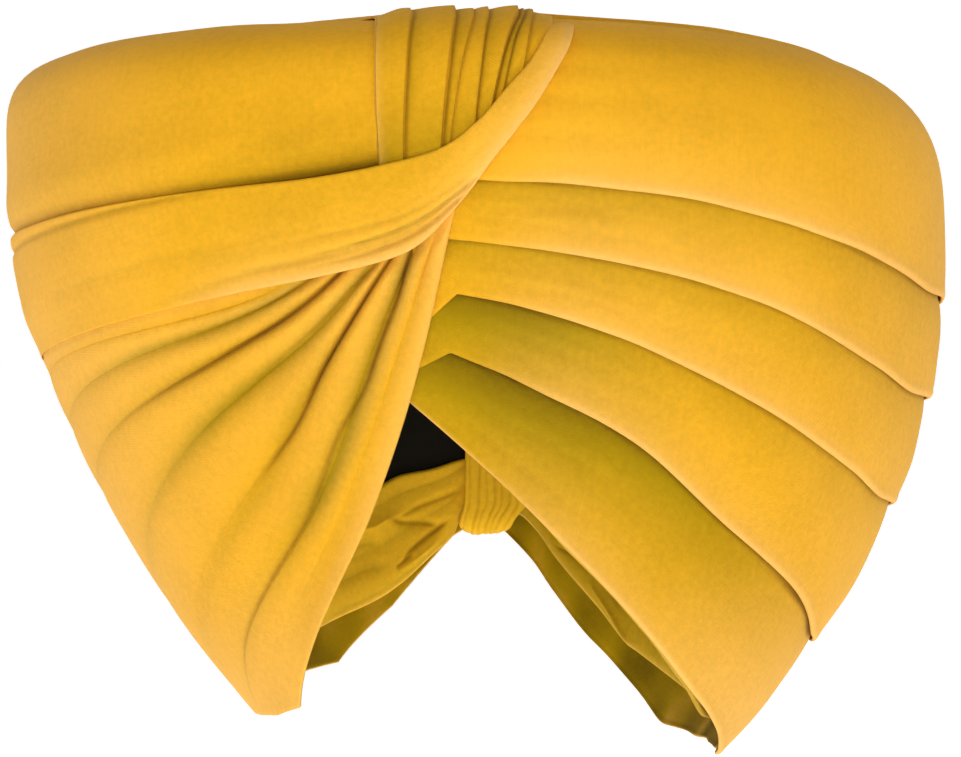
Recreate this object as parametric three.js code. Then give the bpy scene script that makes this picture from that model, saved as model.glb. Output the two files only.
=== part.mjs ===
// A tied pagri turban of folded cotton: overlapping wraps on the right, a gathered
// fan and a crossing band on the left, a crown wrap pleated over the top, and the
// head-hugging inner wraps, cap and back knot that hold them.
// Millimetres, +Z up, the front towards -Y. Left and right are as seen from the front.
// The origin is the point of the cap that rests on the top of the head.
import * as THREE from 'three';

// Driving sizes
const HEIGHT = 230; // lowest tip to just over the crown; heights are given as shares of it
const SEAT_RISE = 156; // lowest tip to the top of the head
const HEAD_WIDTH = 156; // inside the cap, side to side
const HEAD_LENGTH = 195; // inside the cap, front to back
const RIGHT_FLARE = 73.2; // how far the right wing stands out past the rim
const LEFT_FLARE = 89;
const FRONT_FLARE = 28.5;
const BACK_FLARE = 44;
const WALL = 2.2; // one folded wrap
const CAP_WALL = 1.6;
const GAP = 0.6; // between wraps that lie on each other
const CROWN_GAP = 0.9; // between the crown wrap and what it covers
const CAP_GAP = 1.1; // between the cap and the inner wraps
const OVERLAP = 11; // how far a wrap runs on under the next one
const HEM = 2.5; // height of the rounded lower edge of a wrap
const PUFF = 0.9; // swell of a wrap between its edges
const FOLD_PUFF = 2.6; // swell of the fan's cloth between its deepest folds
const PLEAT_PUFF = 1.7; // swell of the crown's cloth between its pleats
const GATHER_PUFF = 1.8; // swell of the inner wraps between their gathers
const TUCK_DROP = 0.75; // share of its rise that the band loses at its tucked end
const TOP_REACH = 62; // how far the side wraps run in over the top
const CROWN_WIDTH = 212; // crown wrap at its widest
const CROWN_STACK = 9.5; // height kept for the crown wrap above the wraps below it
const KNOT_WIDTH = 21.5;
const KNOT_DEPTH = 38.5; // from the face in the head hollow to the face at the back
const KNOT_PUFF = 1.3;
const KNOT_SHIFT = 2; // how far it sits to the right of the middle
const CENTRE_GAP = 1.7; // degrees between a wrap's end and the middle of the back

const TIER = WALL + GAP; // one wrap lying on another
const SHOULDER = 0.917; // share of the height where the wall turns in over the top

// How the outer form leans out on each side. rim is a share of the head's half width
// or half length, widest a share of HEIGHT.
const OUTER_SIDES = {
  left: { half: HEAD_WIDTH / 2, rim: 0.82, flare: LEFT_FLARE, widest: 0.79, roundness: 4.3, spread: 1.83, hug: 1 },
  right: { half: HEAD_WIDTH / 2, rim: 0.9, flare: RIGHT_FLARE, widest: 0.68, roundness: 3.2, spread: 2.15, hug: 1 },
  front: { half: HEAD_LENGTH / 2, rim: 0.98, flare: FRONT_FLARE, widest: 0.81, roundness: 4.2, spread: 1.5, hug: 3 },
  back: { half: HEAD_LENGTH / 2, rim: 0.96, flare: BACK_FLARE, widest: 0.77, roundness: 4, spread: 1.8, hug: 3 },
};

// The cavity is the wearer's head, as a form of the same kind.
const HEAD_RIM = 0.9;
const headSide = (half) => ({
  half, rim: HEAD_RIM, flare: half * (1 - HEAD_RIM), widest: 0.42, roundness: 2.2, spread: 2, hug: 1,
});
const HEAD_SIDES = {
  left: headSide(HEAD_WIDTH / 2),
  right: headSide(HEAD_WIDTH / 2),
  front: headSide(HEAD_LENGTH / 2),
  back: headSide(HEAD_LENGTH / 2),
};

// Lower edges of the right wraps, a row for each section round the right side.
// Azimuth is in degrees from the front; the heights are shares of HEIGHT.
const RIGHT_EDGES = [
  { azimuth: -15, first: 0.752, second: 0.683, third: 0.626, fourth: 0.545, fifth: 0.496 },
  { azimuth: 0, first: 0.748, second: 0.672, third: 0.602, fourth: 0.515, fifth: 0.387 },
  { azimuth: 20, first: 0.735, second: 0.643, third: 0.552, fourth: 0.424, fifth: 0.235 },
  { azimuth: 40, first: 0.702, second: 0.596, third: 0.474, fourth: 0.309, fifth: 0.091 },
  { azimuth: 60, first: 0.648, second: 0.522, third: 0.387, fourth: 0.209, fifth: 0.017 },
  { azimuth: 72, first: 0.62, second: 0.486, third: 0.346, fourth: 0.164, fifth: 0.003 },
  { azimuth: 90, first: 0.607, second: 0.476, third: 0.333, fourth: 0.148, fifth: 0 },
  { azimuth: 135, first: 0.57, second: 0.43, third: 0.285, fourth: 0.14, fifth: 0.022 },
  { azimuth: 158, first: 0.575, second: 0.449, third: 0.328, fourth: 0.216, fifth: 0.103 },
  { azimuth: 167, first: 0.58, second: 0.469, third: 0.368, fourth: 0.288, fifth: 0.19 },
  { azimuth: 171.4, first: 0.583, second: 0.477, third: 0.388, fourth: 0.33, fifth: 0.284 },
  { azimuth: 180, first: 0.585, second: 0.482, third: 0.4, fourth: 0.347, fifth: 0.297 },
];
// Where each right wrap starts, under the left side's fan, in degrees
const RIGHT_WRAPS = [
  { name: 'right_wrap_1', edge: 'first', next: null, start: -10.6 },
  { name: 'right_wrap_2', edge: 'second', next: 'first', start: -10.6 },
  { name: 'right_wrap_3', edge: 'third', next: 'second', start: -10.6 },
  { name: 'right_wrap_4', edge: 'fourth', next: 'third', start: -12.5 },
  { name: 'right_wrap_5', edge: 'fifth', next: 'fourth', start: -15 },
];

// The crossing band, a row for each section from its tucked end on top, down the
// front and round the left side to the back. Climbs past SHOULDER run in over the top.
const BAND_SECTIONS = [
  { lowAzimuth: 15, low: 1.05, highAzimuth: 10.5, high: 1.06 },
  { lowAzimuth: 13, low: 0.974, highAzimuth: 10, high: 0.985 },
  { lowAzimuth: 11, low: 0.917, highAzimuth: 8.2, high: 0.935 },
  { lowAzimuth: 8.2, low: 0.874, highAzimuth: 5.3, high: 0.891 },
  { lowAzimuth: 4.9, low: 0.826, highAzimuth: 2, high: 0.857 },
  { lowAzimuth: 0.7, low: 0.778, highAzimuth: -1.7, high: 0.817 },
  { lowAzimuth: -4, low: 0.722, highAzimuth: -6.5, high: 0.787 },
  { lowAzimuth: -11, low: 0.665, highAzimuth: -13, high: 0.77 },
  { lowAzimuth: -23, low: 0.635, highAzimuth: -24, high: 0.752 },
  { lowAzimuth: -38, low: 0.607, highAzimuth: -38, high: 0.739 },
  { lowAzimuth: -54, low: 0.578, highAzimuth: -54, high: 0.723 },
  { lowAzimuth: -72, low: 0.547, highAzimuth: -72, high: 0.704 },
  { lowAzimuth: -90, low: 0.526, highAzimuth: -90, high: 0.69 },
  { lowAzimuth: -108, low: 0.513, highAzimuth: -108, high: 0.682 },
  { lowAzimuth: -126, low: 0.505, highAzimuth: -126, high: 0.678 },
  { lowAzimuth: -144, low: 0.505, highAzimuth: -144, high: 0.679 },
  { lowAzimuth: -162, low: 0.512, highAzimuth: -162, high: 0.685 },
  { lowAzimuth: -180, low: 0.522, highAzimuth: -180, high: 0.696 },
];

// The fan's folds, a row for each, from the open front edge to the one under the band.
// Each runs from the pinch through two points to its end on the rim or at the back.
const FAN_FOLDS = [
  { az0: -3.9, h0: 0.739, az1: -8, h1: 0.539, az2: -18, h2: 0.339, az3: -39, h3: 0.078, puff: 0.5 },
  { az0: -5.2, h0: 0.737, az1: -11, h1: 0.557, az2: -23, h2: 0.348, az3: -49, h3: 0.062, puff: 0.7 },
  { az0: -6.5, h0: 0.735, az1: -15, h1: 0.57, az2: -28, h2: 0.348, az3: -62, h3: 0.054, puff: 1 },
  { az0: -7.6, h0: 0.733, az1: -19, h1: 0.565, az2: -35, h2: 0.374, az3: -80, h3: 0.048, puff: 0.9 },
  { az0: -8.6, h0: 0.73, az1: -22, h1: 0.578, az2: -45, h2: 0.413, az3: -102, h3: 0.05, puff: 0.7 },
  { az0: -9.5, h0: 0.728, az1: -26, h1: 0.58, az2: -55, h2: 0.439, az3: -132, h3: 0.07, puff: 0.6 },
  { az0: -10.3, h0: 0.726, az1: -29, h1: 0.59, az2: -64, h2: 0.478, az3: -160, h3: 0.15, puff: 0.8 },
  { az0: -11, h0: 0.724, az1: -32, h1: 0.608, az2: -76, h2: 0.52, az3: -173, h3: 0.286, puff: 0 },
  { az0: -11.4, h0: 0.723, az1: -33, h1: 0.636, az2: -78, h2: 0.554, az3: -180, h3: 0.299, puff: 0 },
  { az0: -11.8, h0: 0.722, az1: -34, h1: 0.657, az2: -80, h2: 0.583, az3: -180, h3: 0.561, puff: 0 },
];

// The crown wrap, a row for each section from the front tuck over the top to the
// tail. Turns are in degrees up from the front about the pivot; the half widths are
// shares of half CROWN_WIDTH.
const CROWN_PIVOT = 0.59; // share of the height
const CROWN_SECTIONS = [
  { leftTurn: 15, rightTurn: 31, left: 0.29, right: 0.12 },
  { leftTurn: 27, rightTurn: 34, left: 0.306, right: 0.135 },
  { leftTurn: 38, rightTurn: 38.5, left: 0.31, right: 0.13 },
  { leftTurn: 50, rightTurn: 50, left: 0.36, right: 0.13 },
  { leftTurn: 66, rightTurn: 66, left: 0.6, right: 0.84 },
  { leftTurn: 90, rightTurn: 90, left: 0.82, right: 1.13 },
  { leftTurn: 114, rightTurn: 114, left: 0.76, right: 0.92 },
  { leftTurn: 130, rightTurn: 130, left: 0.48, right: 0.48 },
  { leftTurn: 142, rightTurn: 142, left: 0.29, right: 0.29 },
  { leftTurn: 165, rightTurn: 165, left: 0.19, right: 0.19 },
  { leftTurn: 186, rightTurn: 186, left: 0.13, right: 0.13 },
  { leftTurn: 198, rightTurn: 198, left: 0.11, right: 0.11 },
];
// Pleats of the crown wrap, as shares of its width at the tuck's foot and at its top
const CROWN_PLEATS = [
  { foot: 0, top: 0 },
  { foot: 0.16, top: 0.165 },
  { foot: 0.36, top: 0.39 },
  { foot: 0.46, top: 0.56 },
  { foot: 0.6, top: 0.69 },
  { foot: 0.7, top: 0.78 },
  { foot: 0.84, top: 0.9 },
  { foot: 1, top: 1 },
];

// Edges of the inner wraps that hug the head, a row for each section
const INNER_LEFT = [
  { azimuth: -16, low: 0.4, high: 0.47 },
  { azimuth: -24, low: 0.31, high: 0.45 },
  { azimuth: -33, low: 0.22, high: 0.42 },
  { azimuth: -45, low: 0.14, high: 0.37 },
  { azimuth: -65, low: 0.105, high: 0.33 },
  { azimuth: -90, low: 0.105, high: 0.3 },
  { azimuth: -120, low: 0.12, high: 0.3 },
  { azimuth: -148, low: 0.155, high: 0.31 },
  { azimuth: -163, low: 0.2, high: 0.335 },
  { azimuth: -172, low: 0.304, high: 0.38 },
  { azimuth: -180, low: 0.312, high: 0.39 },
];
const INNER_RIGHT = [
  { azimuth: 3, low: 0.38, high: 0.46 },
  { azimuth: 12, low: 0.3, high: 0.45 },
  { azimuth: 22, low: 0.235, high: 0.43 },
  { azimuth: 32, low: 0.175, high: 0.4 },
  { azimuth: 45, low: 0.11, high: 0.36 },
  { azimuth: 65, low: 0.05, high: 0.32 },
  { azimuth: 90, low: 0.04, high: 0.3 },
  { azimuth: 120, low: 0.06, high: 0.3 },
  { azimuth: 145, low: 0.11, high: 0.31 },
  { azimuth: 160, low: 0.2, high: 0.33 },
  { azimuth: 170, low: 0.306, high: 0.38 },
  { azimuth: 180, low: 0.312, high: 0.39 },
];
// Lower edge of the cap, which the inner wraps overlap from inside
const CAP_EDGE = [
  { azimuth: -180, height: 0.31 },
  { azimuth: -90, height: 0.24 },
  { azimuth: -40, height: 0.36 },
  { azimuth: 0, height: 0.5 },
  { azimuth: 40, height: 0.34 },
  { azimuth: 90, height: 0.24 },
  { azimuth: 180, height: 0.31 },
];

// The knot's loop, from its end in the head hollow, under the rims and up the back
const KNOT_LOOP = [
  { out: 0, height: 0.4 },
  { out: 0, height: 0.335 },
  { out: 0.005, height: 0.3 },
  { out: 0.06, height: 0.285 },
  { out: 0.2, height: 0.281 },
  { out: 0.38, height: 0.283 },
  { out: 0.48, height: 0.302 },
  { out: 0.58, height: 0.348 },
  { out: 0.68, height: 0.389 },
  { out: 0.86, height: 0.418 },
  { out: 0.94, height: 0.452 },
  { out: 1, height: 0.478 },
];

const FOOT = -SEAT_RISE;
const heightAt = (share) => FOOT + share * HEIGHT;
const OUTER = { foot: FOOT, top: FOOT + HEIGHT - CROWN_STACK, sides: OUTER_SIDES, power: 2.15 };
const HEAD = { foot: FOOT, top: 0, sides: HEAD_SIDES, power: 2.15 };

const mix = THREE.MathUtils.lerp;
const ease = THREE.MathUtils.smoothstep;
const radians = THREE.MathUtils.degToRad;
const swell = (share) => Math.sin(Math.PI * share) ** 0.7;

// A smooth curve through a table's column that never overshoots its rows.
function curve(rows, key, column, at) {
  const last = rows.length - 1;
  const x = (i) => (key ? rows[i][key] : i);
  const turn = Math.sign(x(last) - x(0));
  let i = 0;
  while (i < last - 1 && (at - x(i + 1)) * turn > 0) i += 1;
  const slope = (k) => (rows[k + 1][column] - rows[k][column]) / (x(k + 1) - x(k));
  const tangent = (k) => {
    if (k === 0) return slope(0);
    if (k === last) return slope(last - 1);
    const [before, after] = [slope(k - 1), slope(k)];
    return before * after <= 0 ? 0 : (2 * before * after) / (before + after);
  };
  const span = x(i + 1) - x(i);
  const s = THREE.MathUtils.clamp((at - x(i)) / span, 0, 1);
  const [from, to] = [rows[i][column], rows[i + 1][column]];
  return from * (1 - s) ** 2 * (1 + 2 * s) + to * s ** 2 * (3 - 2 * s)
    + span * (tangent(i) * s * (1 - s) ** 2 - tangent(i + 1) * s ** 2 * (1 - s));
}

// How far a form reaches on one side at height z
function reach(form, name, z) {
  const side = form.sides[name];
  const rim = side.half * side.rim;
  const widest = heightAt(side.widest);
  if (z <= widest) {
    const share = Math.max(0, (z - form.foot) / (widest - form.foot));
    return rim + side.flare * (1 - (1 - share) ** side.spread) ** side.hug;
  }
  const share = Math.min(1, (z - widest) / (form.top - widest));
  return (rim + side.flare) * (1 - share ** side.roundness) ** (1 / side.roundness);
}

function planRadius(form, azimuth, z) {
  const [s, c] = [Math.sin(radians(azimuth)), Math.cos(radians(azimuth))];
  const x = Math.abs(s) / Math.max(1e-6, reach(form, s > 0 ? 'right' : 'left', z));
  const y = Math.abs(c) / Math.max(1e-6, reach(form, c > 0 ? 'front' : 'back', z));
  return (x ** form.power + y ** form.power) ** (-1 / form.power);
}

// A point of a form. climb is a share of HEIGHT; past the shoulder it runs in over the top.
function formPoint(form, azimuth, climb, shoulder = SHOULDER) {
  let z = heightAt(Math.min(climb, shoulder));
  let radius = planRadius(form, azimuth, z);
  if (climb > shoulder) {
    radius -= (climb - shoulder) * HEIGHT;
    let high = form.top;
    for (let i = 0; i < 40; i += 1) {
      const middle = (z + high) / 2;
      if (planRadius(form, azimuth, middle) > radius) z = middle;
      else high = middle;
    }
  }
  return new THREE.Vector3(radius * Math.sin(radians(azimuth)), -radius * Math.cos(radians(azimuth)), z);
}

// A point of a form met by a line that leaves the pivot at a turn up from the front
function turnedPoint(form, x, turn) {
  const pivot = heightAt(CROWN_PIVOT);
  const [along, up] = [-Math.cos(radians(turn)), Math.sin(radians(turn))];
  let [near, far] = [0, HEIGHT];
  for (let i = 0; i < 40; i += 1) {
    const middle = (near + far) / 2;
    const [y, z] = [along * middle, pivot + up * middle];
    const inside = z < form.top
      && Math.hypot(x, y) < planRadius(form, THREE.MathUtils.radToDeg(Math.atan2(x, -y)), z);
    if (inside) near = middle;
    else far = middle;
  }
  return new THREE.Vector3(x, along * near, pivot + up * near);
}

// The point lifted off its surface by an offset, along the surface's own normal
function lifted(surface, a, b, offset, stepA, stepB) {
  const alongA = surface(a + stepA, b).sub(surface(a - stepA, b));
  const alongB = surface(a, b + stepB).sub(surface(a, b - stepB));
  return surface(a, b).addScaledVector(alongA.cross(alongB).normalize(), offset);
}
const offForm = (form, azimuth, climb, offset, shoulder) => lifted(
  (a, b) => formPoint(form, a, b, shoulder), azimuth, climb, offset, 0.5, 0.002,
);
const offTurn = (x, turn, offset) => lifted((a, b) => turnedPoint(OUTER, a, b), x, turn, offset, 0.5, 0.5);

// A closed body between an outer and an inner face, both given on the same grid.
// A ring joins its last column to its first, and a pole closes its last row in a point.
function sheetGeometry({ columns, rows, face, ring = false, pole = false }) {
  const positions = [];
  const indices = [];
  const count = ring ? columns : columns + 1;
  const add = (point) => positions.push(...point.toArray()) / 3 - 1;
  const layers = ['outer', 'inner'].map((layer) => {
    const grid = [];
    for (let i = 0; i < count; i += 1) {
      grid.push([]);
      for (let j = 0; j <= rows; j += 1) {
        const shared = pole && j === rows && i > 0;
        grid[i].push(shared ? grid[0][rows] : add(face(layer, i / columns, j / rows, i, j)));
      }
    }
    return grid;
  });
  const [outer, inner] = layers;
  const triangle = (a, b, c) => {
    if (a !== b && b !== c && c !== a) indices.push(a, b, c);
  };
  const far = (a, b) => Math.hypot(...[0, 1, 2].map((n) => positions[3 * a + n] - positions[3 * b + n]));
  const quad = (a, b, c, d) => {
    const [p, q, r, t] = far(a, c) <= far(b, d) ? [a, b, c, d] : [b, c, d, a];
    triangle(p, q, r);
    triangle(p, r, t);
  };
  for (let i = 0; i < columns; i += 1) {
    const next = (i + 1) % count;
    for (let j = 0; j < rows; j += 1) {
      quad(outer[i][j], outer[next][j], outer[next][j + 1], outer[i][j + 1]);
      quad(inner[i][j], inner[i][j + 1], inner[next][j + 1], inner[next][j]);
    }
    quad(outer[i][0], inner[i][0], inner[next][0], outer[next][0]);
    if (!pole) quad(outer[i][rows], outer[next][rows], inner[next][rows], inner[i][rows]);
  }
  for (let j = 0; j < rows && !ring; j += 1) {
    quad(outer[0][j], outer[0][j + 1], inner[0][j + 1], inner[0][j]);
    quad(outer[columns][j], inner[columns][j], inner[columns][j + 1], outer[columns][j + 1]);
  }
  return facingOut(positions, indices);
}

function facingOut(positions, indices) {
  const at = (i) => new THREE.Vector3().fromArray(positions, i * 3);
  let volume = 0;
  for (let i = 0; i < indices.length; i += 3) {
    volume += at(indices[i]).dot(at(indices[i + 1]).cross(at(indices[i + 2])));
  }
  const geometry = new THREE.BufferGeometry();
  geometry.setAttribute('position', new THREE.Float32BufferAttribute(positions, 3));
  geometry.setIndex(volume > 0 ? indices : indices.reverse());
  geometry.computeVertexNormals();
  return geometry;
}

// 1 where the tuck and the crossing band hide the right wraps, which sink there
function underBand(azimuth, climb) {
  const edge = curve(BAND_SECTIONS.slice(0, 8).reverse(), 'low', 'lowAzimuth', climb);
  return ease(edge - azimuth, 0, 5);
}

// Outer offset of the right wraps at a climb: a full tier at each lower edge, down to
// nothing at the next edge, and a tier less where the wrap runs on under the next one
function wrapOffset(azimuth, climb, wrap, puff = PUFF) {
  const low = curve(RIGHT_EDGES, 'azimuth', wrap.edge, azimuth);
  const next = wrap.next ? curve(RIGHT_EDGES, 'azimuth', wrap.next, azimuth) : SHOULDER;
  const share = (climb - low) / (next - low);
  if (share <= 1) {
    return TIER * (1 - share - underBand(azimuth, climb)) + puff * swell(Math.max(0, share));
  }
  if (!wrap.next) return 0;
  const above = RIGHT_WRAPS.find((other) => other.edge === wrap.next);
  return wrapOffset(azimuth, climb, above, 0) - TIER;
}

function rightWrap(wrap) {
  const climbs = wrap.next
    ? (low, next) => [low, low + HEM / HEIGHT, (low + next) / 2, next, next + OVERLAP / HEIGHT]
    : (low) => [
      low, low + HEM / HEIGHT, low + OVERLAP / HEIGHT, mix(low, SHOULDER, 0.5), mix(low, SHOULDER, 0.8),
      SHOULDER, ...[0.1, 0.28, 0.6, 1].map((share) => SHOULDER + (share * TOP_REACH) / HEIGHT),
    ];
  const rows = climbs(0, 1).length - 1;
  return sheetGeometry({
    columns: 28,
    rows,
    face: (layer, u, v, i, j) => {
      const azimuth = mix(wrap.start, 180 - CENTRE_GAP, u);
      const low = curve(RIGHT_EDGES, 'azimuth', wrap.edge, azimuth);
      const next = wrap.next ? curve(RIGHT_EDGES, 'azimuth', wrap.next, azimuth) : SHOULDER;
      const climb = climbs(low, next)[j];
      const offset = wrapOffset(azimuth, climb, wrap);
      const outer = j === 0 ? offset - WALL / 3 : offset;
      return offForm(OUTER, azimuth, climb, layer === 'outer' ? outer : offset - WALL);
    },
  });
}

// Upper edge of the band as a climb at an azimuth on the left side
const bandHigh = (azimuth) => curve(BAND_SECTIONS.slice(6), 'highAzimuth', 'high', azimuth);

function leftUpperWrap() {
  const inner = [0.1, 0.28, 0.6, 1];
  return sheetGeometry({
    columns: 30,
    rows: 7,
    face: (layer, u, v, i, j) => {
      const azimuth = mix(-11, -(180 - CENTRE_GAP), u);
      const low = bandHigh(azimuth) - OVERLAP / HEIGHT;
      const climb = j < 4 ? mix(low, SHOULDER, j / 3) : SHOULDER + (inner[j - 4] * TOP_REACH) / HEIGHT;
      return offForm(OUTER, azimuth, climb, layer === 'outer' ? 0 : -WALL);
    },
  });
}

// The fan and the band rise over the ends of the right wraps near the front, and the
// band comes down again where its end is tucked in on top
const fanBase = (azimuth) => 2 * TIER * ease(azimuth, -34, -19);
const bandBase = (azimuth, climb) => TIER + fanBase(azimuth) * (1 - TUCK_DROP * ease(climb, 0.93, 1));

// Columns of a folded cloth: one on each fold and two between, with their swell
function foldColumns(count, between) {
  const columns = [];
  for (let k = 0; k < count - 1; k += 1) {
    for (let n = 0; n < between; n += 1) columns.push(k + n / between);
  }
  return [...columns, count - 1];
}

function leftFan() {
  const folds = foldColumns(FAN_FOLDS.length, 2);
  const stations = FAN_FOLDS.map((row) => [0, 1, 2, 3].map((n) => ({ az: row[`az${n}`], h: row[`h${n}`] })));
  return sheetGeometry({
    columns: folds.length - 1,
    rows: 14,
    face: (layer, u, v, i) => {
      const at = folds[i];
      const [one, two] = [Math.floor(at), Math.ceil(at)];
      const along = 3 * v;
      const blend = (column) => mix(
        curve(stations[one], null, column, along), curve(stations[two], null, column, along), at - one,
      );
      const azimuth = Math.max(blend('az'), -(180 - CENTRE_GAP));
      const climb = blend('h');
      const below = ease(curve(BAND_SECTIONS, 'lowAzimuth', 'low', azimuth) - climb, 0.004, 0.035);
      const puff = FOLD_PUFF * FAN_FOLDS[one].puff * (1 - v) ** 0.8 * swell(at - one) * below;
      const base = fanBase(azimuth);
      return offForm(OUTER, azimuth, climb, layer === 'outer' ? base + puff : base - WALL);
    },
  });
}

function crossBand() {
  const last = BAND_SECTIONS.length - 1;
  return sheetGeometry({
    columns: 46,
    rows: 4,
    face: (layer, u, v) => {
      const at = last * u;
      const across = ease(v, -0.15, 1.15);
      const azimuth = mix(
        curve(BAND_SECTIONS, null, 'lowAzimuth', at), curve(BAND_SECTIONS, null, 'highAzimuth', at), v,
      );
      const climb = mix(curve(BAND_SECTIONS, null, 'low', at), curve(BAND_SECTIONS, null, 'high', at), v);
      const capped = Math.max(azimuth, -(180 - CENTRE_GAP));
      const edge = v === 0 || v === 1 ? WALL / 3 : 0;
      const base = bandBase(capped, climb);
      return offForm(
        OUTER, capped, climb, layer === 'outer' ? base + PUFF * swell(across) - edge : base - WALL,
      );
    },
  });
}

function crownWrap() {
  const pleats = foldColumns(CROWN_PLEATS.length, 2);
  const last = CROWN_SECTIONS.length - 1;
  return sheetGeometry({
    columns: pleats.length - 1,
    rows: 28,
    face: (layer, u, v, i) => {
      const at = last * v;
      const fold = pleats[i];
      const [one, two] = [Math.floor(fold), Math.ceil(fold)];
      const climbed = ease(at, 0, 2);
      const place = (pleat) => mix(CROWN_PLEATS[pleat].foot, CROWN_PLEATS[pleat].top, climbed);
      const across = mix(place(one), place(two), fold - one);
      const half = CROWN_WIDTH / 2;
      const x = mix(
        -half * curve(CROWN_SECTIONS, null, 'left', at), half * curve(CROWN_SECTIONS, null, 'right', at), across,
      );
      const turn = mix(
        curve(CROWN_SECTIONS, null, 'leftTurn', at), curve(CROWN_SECTIONS, null, 'rightTurn', at), across ** 2.5,
      );
      const gathered = 1 - 0.75 * ease(at, 2, 4) * (1 - ease(at, 7, 10));
      const base = CROWN_GAP + GAP * (1 - ease(at, 0, 1.5)) + (TIER + PUFF) * ease(at, 6.5, 8);
      const puff = PLEAT_PUFF * gathered * swell(fold - one);
      const thick = i === 0 || i === pleats.length - 1 ? WALL / 2 : WALL;
      return offTurn(x, turn, layer === 'outer' ? base + thick + puff : base);
    },
  });
}

function innerWrap(rows, ends, gatherCount) {
  return sheetGeometry({
    columns: 24,
    rows: 6,
    face: (layer, u, v) => {
      const azimuth = mix(ends[0], ends[1], u);
      const climb = mix(curve(rows, 'azimuth', 'low', azimuth), curve(rows, 'azimuth', 'high', azimuth), v);
      const gathers = Math.abs(Math.sin(Math.PI * gatherCount * v)) * ease(u, 0.6, 0.95);
      const inward = WALL + GATHER_PUFF * gathers * (v > 0 && v < 1 ? 1 : 0);
      return offForm(HEAD, azimuth, climb, -CAP_GAP - (layer === 'outer' ? 0 : inward), 2);
    },
  });
}

function cap() {
  const top = 0.675;
  return sheetGeometry({
    columns: 36,
    rows: 8,
    ring: true,
    pole: true,
    face: (layer, u, v) => {
      const azimuth = -180 + 360 * u;
      const low = curve(CAP_EDGE, 'azimuth', 'height', azimuth);
      const offset = layer === 'outer' ? CAP_WALL : 0;
      if (v === 1) return new THREE.Vector3(0, 0, offset);
      const rise = Math.sin((Math.PI / 2) * v);
      return offForm(HEAD, azimuth, mix(low, top, rise), offset, 2);
    },
  });
}

// The knot is a pleated loop round the rims at the middle of the back
function backKnot() {
  const last = KNOT_LOOP.length - 1;
  const face = HEAD_SIDES.back.half * 0.925;
  const place = (at) => new THREE.Vector3(
    0, face + KNOT_DEPTH * curve(KNOT_LOOP, null, 'out', at), heightAt(curve(KNOT_LOOP, null, 'height', at)),
  );
  return sheetGeometry({
    columns: 12,
    rows: 18,
    face: (layer, u, v) => {
      const at = last * v;
      const ahead = place(at + 0.1).sub(place(at - 0.1)).normalize();
      const puff = KNOT_PUFF * Math.abs(Math.sin(Math.PI * 6 * u));
      const offset = layer === 'outer' ? WALL + puff : 0;
      const x = (KNOT_WIDTH / 2) * (1 + 0.12 * v) * (2 * u - 1);
      return place(at).add(new THREE.Vector3(KNOT_SHIFT + x, ahead.z * offset, -ahead.y * offset));
    },
  });
}

const cloth = (color) => new THREE.MeshStandardMaterial({ color, roughness: 0.85, metalness: 0 });
const MUSTARD = 0xe3a528;
const DEEP_MUSTARD = 0xc08f16;
const BLACK = 0x120f08;

function mesh(name, geometry, color) {
  const piece = new THREE.Mesh(geometry, cloth(color));
  piece.name = name;
  return piece;
}

const turban = new THREE.Group();
for (const wrap of RIGHT_WRAPS) turban.add(mesh(wrap.name, rightWrap(wrap), MUSTARD));
turban.add(mesh('left_upper_wrap', leftUpperWrap(), MUSTARD));
turban.add(mesh('left_fan', leftFan(), MUSTARD));
turban.add(mesh('cross_band', crossBand(), MUSTARD));
turban.add(mesh('crown_wrap', crownWrap(), MUSTARD));
turban.add(mesh('inner_wrap_left', innerWrap(INNER_LEFT, [-16, -(180 - CENTRE_GAP)], 3), DEEP_MUSTARD));
turban.add(mesh('inner_wrap_right', innerWrap(INNER_RIGHT, [3, 180 - CENTRE_GAP], 3), DEEP_MUSTARD));
turban.add(mesh('inner_cap', cap(), BLACK));
turban.add(mesh('back_knot', backKnot(), DEEP_MUSTARD));

export default turban;
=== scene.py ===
"""Looks of a tied pagri turban: its folded cotton wraps in fine cloth meshes, each standing
for one solid of the frame, with a pale studio floor, soft lights and a camera.

Metres, +Z up, the front towards -Y. Left and right are as seen from the front. Azimuth is in
degrees round from the front, positive to the right. Climb is a share of the turban's height.
"""

import math

import bpy
import numpy as np
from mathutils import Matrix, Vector


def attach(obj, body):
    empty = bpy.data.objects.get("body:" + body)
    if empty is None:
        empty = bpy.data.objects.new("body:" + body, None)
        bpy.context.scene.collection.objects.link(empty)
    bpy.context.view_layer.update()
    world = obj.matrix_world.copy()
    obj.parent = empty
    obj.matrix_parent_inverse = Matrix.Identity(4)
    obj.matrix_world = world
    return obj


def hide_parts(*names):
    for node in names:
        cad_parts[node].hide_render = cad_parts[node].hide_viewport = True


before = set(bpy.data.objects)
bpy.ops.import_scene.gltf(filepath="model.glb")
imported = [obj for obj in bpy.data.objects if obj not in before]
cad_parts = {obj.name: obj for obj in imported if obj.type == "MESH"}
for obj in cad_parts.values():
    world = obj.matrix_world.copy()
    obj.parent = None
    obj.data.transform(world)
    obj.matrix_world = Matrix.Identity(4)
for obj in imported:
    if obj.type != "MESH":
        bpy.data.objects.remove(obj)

bl_info = {
    "name": "Pagri turban",
    "version": (1, 0, 0),
    "blender": (4, 5, 0),
    "location": "View3D > Sidebar > Turban",
    "description": "Builds the cloth pieces, materials and studio of a tied turban",
    "category": "Object",
}

MM = 0.001
BACK_END = 180 - 1.7  # azimuth where the wraps end, short of the middle of the back
HALVINGS = 32  # steps that find a point on a form
FULL_CREASE = 1.3 * MM  # depth from which a crease is as dark as it can be
INNER_SHIFT = (0.2, 0.1, 0)  # takes the inner face's weave away from the outer one's


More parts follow.
